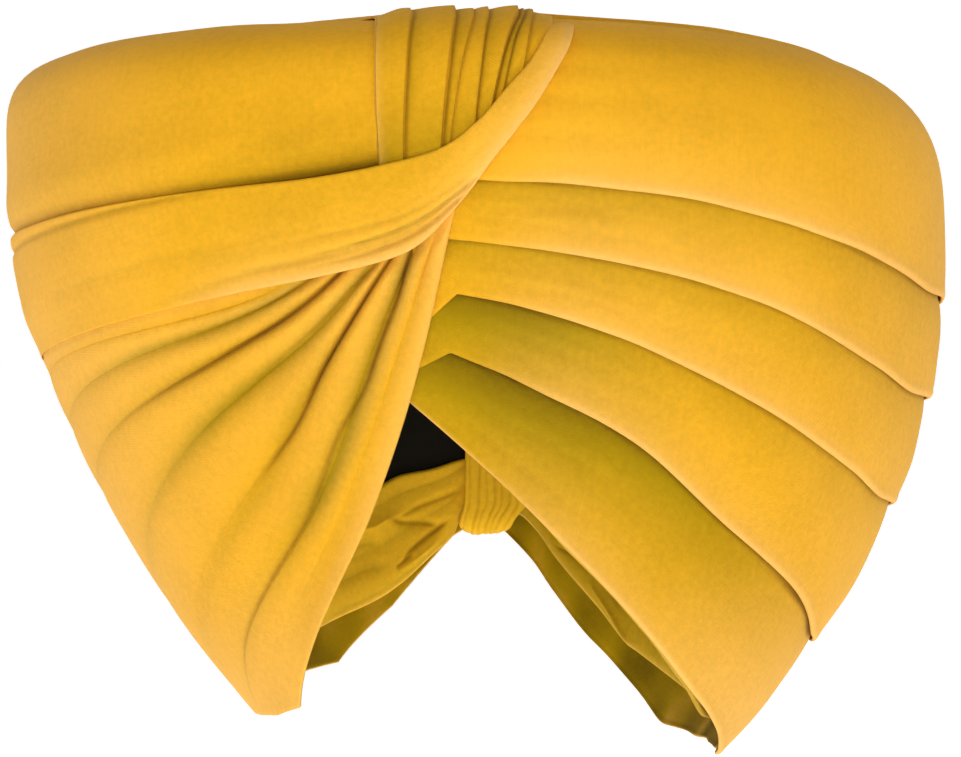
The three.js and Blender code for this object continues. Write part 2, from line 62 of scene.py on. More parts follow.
def table(columns, rows):
    """A table with named columns, from its rows."""
    return dict(zip(columns.split(), np.array(rows, float).T))


def each_row(rows):
    """The rows of a table one after another, with the names of its columns."""
    for values in zip(*rows.values()):
        yield dict(zip(rows, values))


# The shape's tables

SIDE_COLUMNS = "half rim flare widest roundness spread hug"
SHOULDER = 0.917  # climb at which the wall turns in over the top

# Lower edges of the right wraps, round the right side
RIGHT_EDGES = table("azimuth first second third fourth fifth", [
    (-15, 0.752, 0.683, 0.626, 0.57, 0.496),
    (0, 0.748, 0.672, 0.602, 0.517, 0.387),
    (8, 0.744, 0.662, 0.584, 0.488, 0.329),
    (20, 0.735, 0.643, 0.552, 0.438, 0.235),
    (40, 0.702, 0.596, 0.474, 0.309, 0.091),
    (60, 0.648, 0.522, 0.387, 0.209, 0.017),
    (72, 0.62, 0.486, 0.346, 0.164, 0.003),
    (90, 0.607, 0.476, 0.333, 0.148, 0),
    (135, 0.57, 0.43, 0.285, 0.14, 0.005),
    (158, 0.575, 0.449, 0.328, 0.216, 0.114),
    (167, 0.58, 0.469, 0.368, 0.288, 0.19),
    (171.4, 0.583, 0.477, 0.388, 0.33, 0.235),
    (180, 0.585, 0.482, 0.4, 0.347, 0.297),
])
# name, its own edge, the edge of the wrap above, where it starts under the fan
RIGHT_WRAPS = [
    ("right_wrap_1", "first", None, -10.6),
    ("right_wrap_2", "second", "first", -10.6),
    ("right_wrap_3", "third", "second", -10.6),
    ("right_wrap_4", "fourth", "third", -12.5),
    ("right_wrap_5", "fifth", "fourth", -15),
]
# For each right wrap, the azimuth where its corner turns up and by how much climb a degree, how
# deep the painted shade is under the wrap above near the front, over how many mm and up to which
# azimuth, and how dark the painted deep shade is in the shut fold under that wrap's edge
RIGHT_LOOKS = table("corner turned hollow lasting until shut", [
    (0, 0, 0, 9, 20, 0.35),
    (0, 0, 0.3, 10, 30, 0.35),
    (-4.6, 0.009, 0.42, 10, 34, 0.35),
    (-5.8, 0.0075, 1.42, 23, 44, 0.45),
    (0, 0, 1.55, 28, 84, 0.75),
])

# The crossing band, from its tucked end on top, down the front and round to the back
BAND = table("low_azimuth low high_azimuth high", [
    (15, 1.05, 10.5, 1.06),
    (13, 0.974, 10, 0.985),
    (11, 0.917, 8.2, 0.935),
    (8.2, 0.874, 5.3, 0.891),
    (4.9, 0.826, 2, 0.857),
    (0.7, 0.778, -1.7, 0.817),
    (-4, 0.722, -6.5, 0.787),
    (-11, 0.665, -13, 0.77),
    (-23, 0.635, -24, 0.752),
    (-38, 0.607, -38, 0.739),
    (-54, 0.578, -54, 0.723),
    (-72, 0.547, -72, 0.704),
    (-90, 0.526, -90, 0.69),
    (-108, 0.513, -108, 0.682),
    (-126, 0.505, -126, 0.678),
    (-144, 0.505, -144, 0.679),
    (-162, 0.512, -162, 0.685),
    (-180, 0.522, -180, 0.696),
])

# Fine pleats of the band: the rows of the band that each runs between, its place across the
# band there and halfway, its depth and width in mm, and how dark its painted shade is
BAND_PLEATS = table("first last from middle to depth width dark", [
    (5.3, 8.6, 0.04, 0.27, 0.2, 1.4, 0.7, 1),
    (5.7, 8.2, 0.02, 0.15, 0.1, 1.5, 0.6, 1.25),
    (6.2, 9.8, 0.2, 0.2, 0.06, 0.9, 1.4, 0.6),
    (5.2, 9.2, 0.22, 0.42, 0.36, 0.8, 1.6, 0.5),
    (4.2, 8.4, 0.4, 0.55, 0.5, 0.5, 2.0, 0.3),
    (7.4, 11.6, 0.55, 0.45, 0.3, 0.5, 3, 0.35),
])

# The fan's folds from the open front edge to the one under the band: azimuth and climb
# at the pinch, at two points on the way and at the rim, and how full the cloth is after it
FAN_FOLDS = table("az0 h0 az1 h1 az2 h2 az3 h3 puff", [
    (-3.9, 0.739, -9.7, 0.539, -18.8, 0.339, -39, 0.078, 0.5),
    (-5.2, 0.737, -12.6, 0.557, -23.4, 0.348, -49, 0.062, 0.7),
    (-6.5, 0.735, -15.4, 0.57, -28, 0.348, -62, 0.054, 1),
    (-7.6, 0.733, -20.6, 0.566, -35.6, 0.39, -80, 0.048, 0.9),
    (-8.6, 0.73, -22.8, 0.58, -46.5, 0.43, -102, 0.05, 0.7),
    (-9.5, 0.728, -27.8, 0.588, -56.5, 0.466, -146, 0.086, 0.6),
    (-10.3, 0.726, -30.5, 0.6, -65, 0.498, -160, 0.165, 0.8),
    (-11, 0.724, -32, 0.608, -76, 0.52, -173, 0.267, 0),
    (-11.4, 0.723, -33, 0.636, -78, 0.554, -180, 0.299, 0),
    (-11.8, 0.722, -34, 0.657, -80, 0.583, -180, 0.561, 0),
])
# The fan's creases: the fold each lies on, its depth in mm at four places from the pinch to the
# rim, its width in mm at the pinch and at the rim, and how dark its painted shade is, past 1 painted deep
# shade for a shut fold
FAN_CREASES = table("fold pinch upper middle rim narrow wide dark", [
    (1, 0.3, 0.8, 0.4, 0.2, 1.6, 5, 0.4),
    (2, 2.6, 2.4, 0.9, 0.8, 0.7, 1.0, 1.9),
    (2, 0.4, 2.6, 2.4, 0.7, 3, 7, 0.95),
    (3, 1.2, 2.6, 1.9, 0.2, 0.6, 1.1, 1.9),
    (3, 0.2, 0.8, 1.4, 0.6, 2, 6, 0.6),
    (4, 1.4, 1.2, 0.4, 0, 0.6, 0.9, 1.4),
    (4, 0.4, 2.2, 2.2, 0.6, 1.6, 7, 0.95),
    (5, 1.8, 2.8, 1.8, 0, 0.7, 1.2, 1.9),
    (5, 0.2, 1.0, 1.6, 0.5, 2, 6, 0.6),
    (6, 1.4, 1.0, 0.2, 0, 0.6, 0.9, 1.3),
    (6, 0.6, 2.0, 1.6, 0.3, 1.6, 8, 0.9),
])

# The crown wrap from the front tuck over the top to its tail: turns up from the front
# about the pivot, in degrees, and half widths as shares of half the crown's width
CROWN_PIVOT = 0.59
CROWN = table("left_turn right_turn left right", [
    (15, 31, 0.29, 0.16),
    (27, 34, 0.306, 0.17),
    (38, 38.5, 0.31, 0.17),
    (50, 50, 0.36, 0.17),
    (66, 66, 0.68, 0.84),
    (90, 90, 0.86, 1.13),
    (114, 114, 0.78, 0.92),
    (130, 130, 0.48, 0.48),
    (142, 142, 0.29, 0.29),
    (165, 165, 0.19, 0.19),
    (186, 186, 0.13, 0.13),
    (198, 198, 0.11, 0.11),
])
# Its folds, as shares of its width at the tuck's foot and at its top, how tall the pleat after
# each is, and how dark the painted shade in the fold is
CROWN_PLEATS = table("foot top tall dark", [
    (0, 0, 0.7, 0),
    (0.15, 0.211, 1.2, 0.8),
    (0.364, 0.46, 0.5, 0.8),
    (0.404, 0.56, 0.9, 0.4),
    (0.556, 0.642, 1.2, 0.7),
    (0.629, 0.81, 0.5, 1),
    (0.698, 0.84, 0.8, 0.8),
    (0.82, 0.89, 0.4, 0.5),
    (1, 1, 0.8, 0),
])

# Edges of the inner wraps that hug the head
INNER_LEFT = table("azimuth low high", [
    (-24, 0.31, 0.45),
    (-33, 0.22, 0.42),
    (-45, 0.14, 0.37),
    (-65, 0.105, 0.33),
    (-90, 0.105, 0.3),
    (-120, 0.12, 0.3),
    (-148, 0.161, 0.33),
    (-155, 0.177, 0.343),
    (-161, 0.2, 0.361),
    (-168, 0.24, 0.37),
    (-172.5, 0.268, 0.38),
    (-175, 0.304, 0.385),
    (-180, 0.312, 0.39),
])
INNER_RIGHT = table("azimuth low high", [
    (3, 0.38, 0.46),
    (12, 0.3, 0.45),
    (22, 0.235, 0.43),
    (32, 0.175, 0.4),
    (45, 0.11, 0.36),
    (65, 0.05, 0.32),
    (90, 0.04, 0.3),
    (120, 0.06, 0.3),
    (145, 0.11, 0.31),
    (155, 0.165, 0.33),
    (165, 0.232, 0.36),
    (170, 0.278, 0.38),
    (173.5, 0.3, 0.385),
    (180, 0.312, 0.39),
])
# Creases of the inner wraps: their two ends, depth and width in mm, and how dark their painted shade is
INNER_CREASES = table("azimuth0 climb0 azimuth1 climb1 depth width dark", [
    (-160, 0.3, -176, 0.341, 1.4, 1.1, 1.1),
    (-150, 0.281, -161, 0.3, -1.4, 1.6, 0),
    (-157, 0.2965, -170, 0.283, 1.5, 1.1, 1.2),
    (-171.5, 0.289, -161, 0.237, 1.8, 1.2, 1.5),
    (-159, 0.221, -163.5, 0.241, 1.2, 0.8, 1.5),
    (-169.5, 0.262, -160, 0.217, -1.0, 1.2, 0),
    (-140, 0.25, -157, 0.262, 0.8, 2.4, 0.5),
    (-140, 0.2, -158, 0.23, 0.7, 3, 0.5),
    (172, 0.315, 163, 0.29, 1.2, 1, 1.4),
    (160, 0.27, 148, 0.16, 1.4, 1.4, 1.5),
    (157, 0.2, 143, 0.1, -1.3, 1.2, 0),
    (150, 0.22, 132, 0.1, 1.0, 2, 0.9),
    (166, 0.26, 154, 0.21, 1.0, 0.9, 1.3),
])
CAP_EDGE = table("azimuth height", [
    (-180, 0.31), (-90, 0.24), (-40, 0.36), (0, 0.5), (40, 0.34), (90, 0.24), (180, 0.31),
])
# The knot's loop, from its end in the head hollow, under the rims and up the back
KNOT_LOOP = table("out height", [
    (0, 0.4), (0, 0.335), (0.005, 0.3), (0.06, 0.285), (0.2, 0.281), (0.36, 0.283), (0.43, 0.302),
    (0.52, 0.348), (0.62, 0.389), (0.79, 0.418), (0.86, 0.452), (0.92, 0.478),
])
# The knot's folds: places as shares of its width, and how deep each is
KNOT_FOLDS = [(0.07, 0.5), (0.23, 1), (0.34, 0.5), (0.47, 1), (0.58, 0.8), (0.7, 1), (0.84, 0.8)]

# By slot: the material's name, its colours lit, of painted shade in folds, of painted highlights on edges and
# of painted deep shade in shut folds, how strong its mottling and its slubs are, how matt it is, the weave's
# relief, its sheen and the sheen's tint
CLOTHS = {
    "outer_cotton": ("Mustard cotton", "outer_lit outer_fold outer_edge outer_shut",
                     0.5, 0.4, 0.84, 0.00014, 0.12, (1, 0.66, 0.22, 1)),
    "inner_cotton": ("Mustard cotton in shade", "inner_lit inner_fold inner_edge inner_shut",
                     0.5, 0.4, 0.86, 0.00014, 0.1, (1, 0.66, 0.2, 1)),
    "cap_cloth": ("Black cap cloth", "cap_lit cap_lit cap_lit cap_lit",
                  0.4, 0.4, 0.9, 0.0001, 0.1, (0.5, 0.5, 0.5, 1)),
}


# Settings: what a user can change

def length(name, description, default):
    return bpy.props.FloatProperty(
        name=name, description=description, default=default, min=0, unit="LENGTH", precision=4)


def share(name, description, default, top=1.0):
    return bpy.props.FloatProperty(
        name=name, description=description, default=default, min=0, max=top, subtype="FACTOR")


def colour(name, description, default):
    return bpy.props.FloatVectorProperty(
        name=name, description=description, default=default, size=4, min=0, max=1, subtype="COLOR")


def strength(name, description, default, unit="NONE"):
    return bpy.props.FloatProperty(
        name=name, description=description, default=default, min=0, unit=unit)


class TurbanSizes(bpy.types.PropertyGroup):
    """Lengths of the turban."""
    height: length("Height", "Lowest tip to just over the crown", 0.23)
    seat_rise: length("Seat rise", "Lowest tip to the top of the head", 0.156)
    head_width: length("Head width", "Inside the cap, side to side", 0.156)
    head_length: length("Head length", "Inside the cap, front to back", 0.195)
    left_flare: length("Left flare", "How far the left wing stands out past the rim", 0.0874)
    right_flare: length("Right flare", "How far the right wing stands out past the rim", 0.0712)
    front_flare: length("Front flare", "How far the front stands out past the rim", 0.0285)
    back_flare: length("Back flare", "How far the back stands out past the rim", 0.044)
    wall: length("Wall", "Thickness of one folded wrap", 0.0016)
    gap: length("Gap", "Air between wraps that lie on each other", 0.0003)
    crown_gap: length("Crown gap", "Air under the crown wrap", 0.0009)
    cap_wall: length("Cap wall", "Thickness of the cap's cloth", 0.0016)
    cap_gap: length("Cap gap", "Air between the cap and the inner wraps", 0.0011)
    overlap: length("Overlap", "How far a wrap runs on under the next one", 0.011)
    top_reach: length("Top reach", "How far the side wraps run in over the top", 0.062)
    crown_width: length("Crown width", "Crown wrap at its widest", 0.212)
    crown_stack: length("Crown stack", "Height kept for the crown wrap", 0.0077)
    knot_width: length("Knot width", "Back knot, side to side", 0.0215)
    knot_depth: length("Knot depth", "Back knot, front to back", 0.0385)
    knot_shift: length("Knot shift", "How far the knot sits to the right of the middle", 0.002)


class TurbanFolds(bpy.types.PropertyGroup):
    """How full and how creased the cloth is."""
    belly: length("Belly", "Swell of a wrap between its edges", 0.0009)
    fan: length("Fan folds", "Swell of the fan between its folds", 0.0026)
    pleat: length("Crown pleats", "Swell of the crown between its pleats", 0.0012)
    gather: length("Gathers", "Swell of the inner wraps between their gathers", 0.0017)
    knot: length("Knot pleats", "Swell of the knot between its pleats", 0.0013)
    crease: share("Crease depth", "Strength of every crease", 1.0, 2.0)
    slack: length("Slack", "Height of the soft undulation of the cloth", 0.0005)


class TurbanCloth(bpy.types.PropertyGroup):
    """Colours and weave of the cloths, with the colours of painted shade and painted highlights."""
    # The outer cotton's colour, and the colours of its painted shade in folds, its painted highlights on
    # edges and its painted deep shade in shut folds
    outer_lit: colour("Outer cotton", "Colour of the outer cotton", (0.88, 0.432, 0.014, 1))
    outer_fold: colour("Outer cotton in its folds", "Colour in its folds", (0.40, 0.25, 0.0015, 1))
    outer_edge: colour("Outer cotton on its edges", "Colour of pressed edges", (0.96, 0.54, 0.15, 1))
    outer_shut: colour("Outer cotton in shut folds", "Colour deep in a fold", (0.2, 0.075, 0.003, 1))
    # The inner cotton is the same cotton again, a copy for the inside: brighter when lit, to make up for the
    # light that does not reach in, with painted shade of its own
    inner_lit: colour("Inner cotton", "Colour of the inner cotton", (0.93, 0.53, 0.02, 1))
    inner_fold: colour("Inner cotton in its folds", "Colour in its folds", (0.33, 0.21, 0.003, 1))
    inner_edge: colour("Inner cotton on its edges", "Colour of its edges", (0.95, 0.56, 0.08, 1))
    inner_shut: colour("Inner cotton in shut folds", "Colour deep in a fold", (0.17, 0.065, 0.003, 1))
    cap_lit: colour("Cap cloth", "Colour of the cap", (0.014, 0.012, 0.008, 1))
    thread: length("Thread pitch", "Distance from thread to thread", 0.0004)


class TurbanStudio(bpy.types.PropertyGroup):
    """Camera, lights and floor."""
    camera_far: length("Camera distance", "From the middle of the turban", 1.1)
    camera_shift: bpy.props.FloatProperty(
        name="Camera side step", description="Across the front", default=-0.0027, unit="LENGTH", precision=4)
    camera_drop: length("Camera drop", "Below the seat on the head", 0.04)
    lens: bpy.props.FloatProperty(
        name="Lens", description="Focal length", default=130.1, min=10, unit="CAMERA")
    floor_drop: length("Floor drop", "Floor below the seat on the head", 0.42)
    backdrop_far: length("Backdrop distance", "From the middle of the turban", 3.6)
    backdrop: colour("Backdrop", "Colour of floor and backdrop", (0.9, 0.9, 0.9, 1))
    sky: strength("Sky strength", "Light from all round", 0.28)
    key: strength("Key light", "Large light on the right", 11.5, "POWER")
    fill: strength("Fill light", "Large light on the left", 7.5, "POWER")
    glow: strength("Paper glow", "Light from the paper", 0.64)
    rim: strength("Rim lights", "Lights behind", 5, "POWER")
    top: strength("Top light", "Large light overhead", 18, "POWER")
    front: strength("Front light", "Low light in front", 29, "POWER")


def sizes():
    return bpy.context.scene.turban_sizes


def folds():
    return bpy.context.scene.turban_folds


# Curves and noise

def ease(at, low, high):
    """0 before low and 1 after high, with a soft start and end."""
    s = np.clip((np.asarray(at, float) - low) / (high - low), 0, 1)
    return s * s * (3 - 2 * s)


def mix(one, two, by):
    return one + (two - one) * by


def swell(at):
    return np.sin(np.pi * np.clip(at, 0, 1)) ** 0.7


def fall(distance, width, power=2):
    """1 where a distance is nought, and less and less on both sides, over about the width."""
    return np.exp(-np.abs(distance / width) ** power)


def curve(x, y, at):
    """A smooth curve through points that never overshoots them, level past its ends."""
    x, y, at = np.asarray(x, float), np.asarray(y, float), np.asarray(at, float)
    if x[-1] < x[0]:
        x, y = x[::-1], y[::-1]
    slope = np.diff(y) / np.diff(x)
    before, after = slope[:-1], slope[1:]
    total = before + after
    inner = np.where(before * after > 0, 2 * before * after / np.where(total == 0, 1, total), 0)
    tangent = np.concatenate([slope[:1], inner, slope[-1:]])
    i = np.clip(np.searchsorted(x, at, side="right") - 1, 0, len(x) - 2)
    span = x[i + 1] - x[i]
    s = np.clip((at - x[i]) / span, 0, 1)
    return (y[i] * (1 - s) ** 2 * (1 + 2 * s) + y[i + 1] * s ** 2 * (3 - 2 * s)
            + span * (tangent[i] * s * (1 - s) ** 2 - tangent[i + 1] * s ** 2 * (1 - s)))


def along(values, at):
    """The curve through evenly spaced values, at a place counted in rows."""
    return curve(np.arange(len(values)), values, at)


def soft_noise(x, y, seed):
    """Seeded smooth noise from -1 to 1, with one cell to each unit of x and y."""
    size = 64
    grid = np.random.default_rng(seed).uniform(-1, 1, (size, size))
    x, y = np.broadcast_arrays(np.asarray(x, float), np.asarray(y, float))
    i, j = np.floor(x).astype(int), np.floor(y).astype(int)
    u, v = ease(x - i, 0, 1), ease(y - j, 0, 1)
    i, j = i % size, j % size
    k, m = (i + 1) % size, (j + 1) % size
    return mix(mix(grid[i, j], grid[k, j], u), mix(grid[i, m], grid[k, m], u), v)


def packed(count, edge, share_of=4):
    """Places from 0 to 1, a few of them packed within edge of each end."""
    near = edge * np.linspace(0, 1, share_of + 1) ** 1.6
    middle = np.linspace(edge, 1 - edge, count - 2 * share_of + 1)
    return np.concatenate([near[:-1], middle, 1 - near[::-1][1:]])


def fold_places(count, each):
    """Places counted in folds, packed towards each fold."""
    s = np.linspace(0, 1, each + 1)[:-1]
    s = s - 0.75 * np.sin(2 * np.pi * s) / (2 * np.pi)
    return np.concatenate([k + s for k in range(count - 1)] + [[count - 1]])


# The two forms that the cloth lies on: the outside of the wraps, and the head

class Form:
    """A form given by how far it reaches on each side at each height."""

    def __init__(self, top, sides, power=2.15):
        self.foot, self.top, self.power = -sizes().seat_rise, top, power
        self.sides = {side: dict(zip(SIDE_COLUMNS.split(), row)) for side, row in sides.items()}

    def height_at(self, climb):
        return self.foot + climb * sizes().height

    def reach(self, side, z):
        s = self.sides[side]
        rim, widest = s["half"] * s["rim"], self.height_at(s["widest"])
        low = np.clip((z - self.foot) / (widest - self.foot), 0, 1)
        high = np.clip((z - widest) / (self.top - widest), 0, 1)
        lower = rim + s["flare"] * (1 - (1 - low) ** s["spread"]) ** s["hug"]
        upper = (rim + s["flare"]) * (1 - high ** s["roundness"]) ** (1 / s["roundness"])
        return np.maximum(np.where(z <= widest, lower, upper), 1e-9)

    def plan_radius(self, azimuth, z):
        sine, cosine = np.sin(np.radians(azimuth)), np.cos(np.radians(azimuth))
        x = np.abs(sine) / np.where(sine > 0, self.reach("right", z), self.reach("left", z))
        y = np.abs(cosine) / np.where(cosine > 0, self.reach("front", z), self.reach("back", z))
        return (x ** self.power + y ** self.power) ** (-1 / self.power)

    def point(self, azimuth, climb, shoulder=SHOULDER):
        """Points at azimuths and climbs. Past the shoulder they run in over the top."""
        azimuth, climb = np.broadcast_arrays(np.asarray(azimuth, float), np.asarray(climb, float))
        z = self.height_at(np.minimum(climb, shoulder))
        radius = self.plan_radius(azimuth, z)
        over = climb > shoulder
        if over.any():
            inward = radius[over] - (climb[over] - shoulder) * sizes().height
            low, high = z[over], np.full(over.sum(), self.top)
            for _ in range(HALVINGS):
                middle = (low + high) / 2
                outside = self.plan_radius(azimuth[over], middle) > inward
                low, high = np.where(outside, middle, low), np.where(outside, high, middle)
            z, radius = z.copy(), radius.copy()
            z[over], radius[over] = low, inward
        turn = np.radians(azimuth)
        return np.stack([radius * np.sin(turn), -radius * np.cos(turn), z], -1)

    def turned(self, x, turn):
        """Points met by lines that leave the pivot at turns up from the front."""
        x, turn = np.broadcast_arrays(np.asarray(x, float), np.asarray(turn, float))
        pivot = self.height_at(CROWN_PIVOT)
        back, up = -np.cos(np.radians(turn)), np.sin(np.radians(turn))
        near, far = np.zeros(x.shape), np.full(x.shape, sizes().height)
        for _ in range(HALVINGS):
            middle = (near + far) / 2
            y, z = back * middle, pivot + up * middle
            azimuth = np.degrees(np.arctan2(x, -y))
            inside = (z < self.top) & (np.hypot(x, y) < self.plan_radius(azimuth, z))
            near, far = np.where(inside, middle, near), np.where(inside, far, middle)
        return np.stack([x, back * near, pivot + up * near], -1)


def outer_form():
    s = sizes()
    side, end = s.head_width / 2, s.head_length / 2
    return Form(s.height - s.seat_rise - s.crown_stack, {
        "left": (side, 0.82, s.left_flare, 0.792, 4.6, 1.87, 1),
        "right": (side, 0.9, s.right_flare, 0.68, 3.55, 2.22, 1),
        "front": (end, 0.98, s.front_flare, 0.81, 5, 1.5, 3),
        "back": (end, 0.96, s.back_flare, 0.77, 4, 1.8, 3),
    })


def head_form():
    s = sizes()
    rim = 0.9
    side, end = s.head_width / 2, s.head_length / 2
    halves = {"left": side, "right": side, "front": end, "back": end}
    return Form(0, {name: (half, rim, half * (1 - rim), 0.42, 2.2, 2, 1) for name, half in halves.items()})


# Cloth shells

def lengths(points, axis):
    """Distance covered along a grid's lines, from their first point."""
    steps = np.linalg.norm(np.diff(points, axis=axis), axis=-1)
    start = np.zeros_like(np.take(steps, [0], axis))
    return np.concatenate([start, np.cumsum(steps, axis)], axis)


def normals_of(points, away_from):
    """Unit normals of a grid of points, pointing away from a point."""
    across = np.cross(np.gradient(points, axis=0), np.gradient(points, axis=1))
    across /= np.maximum(np.linalg.norm(across, axis=-1, keepdims=True), 1e-12)
    middle = tuple(n // 2 for n in points.shape[:2])
    return across * np.sign((across[middle] * (points[middle] - away_from)).sum())


class Cloth:
    """A grid on a form, with offsets of its outer and inner face, and what colours it: painted shade and
    painted highlights.
    """

    def __init__(self, name, slot, points, centre=(0, 0, 0), ring=False, pole=False):
        self.name, self.slot, self.points, self.ring, self.pole = name, slot, points, ring, pole
        self.normals = normals_of(points, np.array(centre, float))
        self.along, self.across = lengths(points, 0), lengths(points, 1)
        # How far its outer face is off the form, and how thick it is
        self.base = np.zeros(points.shape[:2])
        self.thick = np.full(points.shape[:2], sizes().wall)
        # How deep its painted shade is in folds, its painted deep shade in shut folds and its painted shade
        # at least on its inner face, and how bright its painted highlights are
        self.fold = np.zeros(points.shape[:2])
        self.shut = np.zeros(points.shape[:2])
        self.inside = 0
        self.edge = np.zeros(points.shape[:2])

    def from_edge(self, *sides):
        """Distance from the nearest of the edges named: start and end along, low and high across."""
        far = {
            "start": self.along, "end": self.along[-1:] - self.along,
            "low": self.across, "high": self.across[:, -1:] - self.across,
        }
        return np.minimum.reduce([far[side] for side in sides])

    def paint_crease_shade(self, distance, depth, width, dark):
        """Paint shade into a crease: up to 1 is the painted shade of its folds, and past 1 the painted deep
        shade of a shut fold.
        """
        spot = fall(distance, 0.8 * width, 1.5) * np.clip(depth / FULL_CREASE, 0, 1)
        self.shade((dark if dark <= 1 else 0.35) * spot)
        self.paint_deep_shade(max(dark - 1, 0) * spot)

    def crease(self, distance, depth, width, soft=1.2, dark=0.8):
        """Press a crease where a distance is nought, and paint shade into it."""
        self.base = self.base - folds().crease * depth * fall(distance, width, soft)
        self.paint_crease_shade(distance, depth, width, dark)

    def dent(self, distance, depth, width, dark):
        """Dent the inner face where a distance is nought, or raise it for a depth below 0, and paint shade
        into it.
        """
        self.thick = self.thick - folds().crease * depth * fall(distance, width, 1.2)
        self.paint_crease_shade(distance, depth, width, dark)

    def shade(self, depth):
        """Paint shade on the cloth to a depth: 1 is the painted shade colour of its folds."""
        self.fold = np.maximum(self.fold, depth)

    def paint_deep_shade(self, depth):
        """Paint the deep shade of a shut fold on the cloth, up to 1."""
        self.shut = np.maximum(self.shut, depth)

    def paint_highlight(self, amount):
        """Paint highlights on the cloth: 1 is the painted highlight colour of its edges."""
        self.edge = np.maximum(self.edge, amount)

    def build(self):
        """Make the mesh with rounded edges, its attributes and its place in the frame."""
        radius = self.thick / 2
        open_sides = ("low",) if self.pole else ("low", "high")
        if not self.ring:
            open_sides += ("start", "end")
        near = np.clip(self.from_edge(*open_sides) / np.maximum(radius, 1e-6), 0, 1)
        round_off = np.sqrt(np.clip(1 - (1 - near) ** 2, 0, 1))
        middle = self.points + self.normals * (self.base - radius)[..., None]
        half = self.normals * (radius * round_off)[..., None]
        outer, inner = middle + half, middle - half
        columns, rows = self.points.shape[:2]
        count = columns * rows
        index = np.arange(count).reshape(columns, rows)
        border = np.zeros((columns, rows), bool)
        border[:, 0] = True
        if not self.pole:
            border[:, -1] = True
        if not self.ring:
            border[[0, -1]] = True
        inside = np.where(border, index, index + count)
        if self.ring:
            index, inside = np.concatenate([index, index[:1]]), np.concatenate([inside, inside[:1]])
        if self.pole:
            index[:, -1], inside[:, -1] = index[0, -1], inside[0, -1]

        def quads(grid):
            return np.stack([grid[:-1, :-1], grid[1:, :-1], grid[1:, 1:], grid[:-1, 1:]], -1).reshape(-1, 4)

        front, back = quads(index), quads(inside)[:, ::-1]
        vertices = np.concatenate([outer.reshape(-1, 3), inner.reshape(-1, 3)])
        a, b, c, _ = (vertices[front[:, n]] for n in range(4))
        facing = (np.cross(b - a, c - a) * self.normals.reshape(-1, 3)[front[:, 0]]).sum()
        faces = np.concatenate([front, back])
        if facing < 0:
            faces = faces[:, ::-1]
        kept, place = np.unique(faces, return_inverse=True)
        faces = [tuple(dict.fromkeys(face)) for face in place.reshape(faces.shape).tolist()]
        faces = [face for face in faces if len(face) > 2]
        mesh = bpy.data.meshes.new(self.name)
        mesh.from_pydata(vertices[kept].tolist(), [], faces)
        mesh.polygons.foreach_set("use_smooth", np.ones(len(faces), bool))
        # Painted shade, painted highlights and painted deep shade at each point; the inner face gets painted
        # shade at least as deep as inside, and less painted highlight
        layers = {
            "fold": (self.fold, np.maximum(self.fold, self.inside)),
            "edge": (self.edge, self.edge * (1 - self.inside)),
            "shut": (self.shut, self.shut),
        }
        for name, (on_outer, on_inner) in layers.items():
            both = np.concatenate([on_outer.ravel(), on_inner.ravel()])[kept]
            mesh.attributes.new(name, "FLOAT", "POINT").data.foreach_set("value", both.astype(np.float32))
        cloth = np.stack([self.along, self.across, np.zeros_like(self.along)], -1).reshape(-1, 3)
        cloth = np.concatenate([cloth, cloth + INNER_SHIFT])[kept]
        mesh.attributes.new("cloth", "FLOAT_VECTOR", "POINT").data.foreach_set(
            "vector", cloth.astype(np.float32).ravel())
        mesh.update()
        mesh.materials.append(material(self.slot))
        piece = bpy.data.objects.new("cloth_" + self.name, mesh)
        bpy.context.scene.collection.objects.link(piece)
        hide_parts(self.name)
        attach(piece, "root")
        return piece


# Materials

def node(tree, kind, settings=None, **inputs):
    """A node with its settings, and its inputs' values or links: i0 is the first, Scale by name."""
    row, column = divmod(len(tree.nodes), 10)
    new = tree.nodes.new(kind)
    new.location = (220 * column, -320 * row)
    for key, value in (settings or {}).items():
        setattr(new, key, value)
    for key, value in inputs.items():
        numbered = key[0] == "i" and key[1:].isdigit()
        socket = new.inputs[int(key[1:]) if numbered else key.replace("_", " ")]
        if isinstance(value, bpy.types.NodeSocket):
            tree.links.new(value, socket)
        else:
            socket.default_value = value
    return new


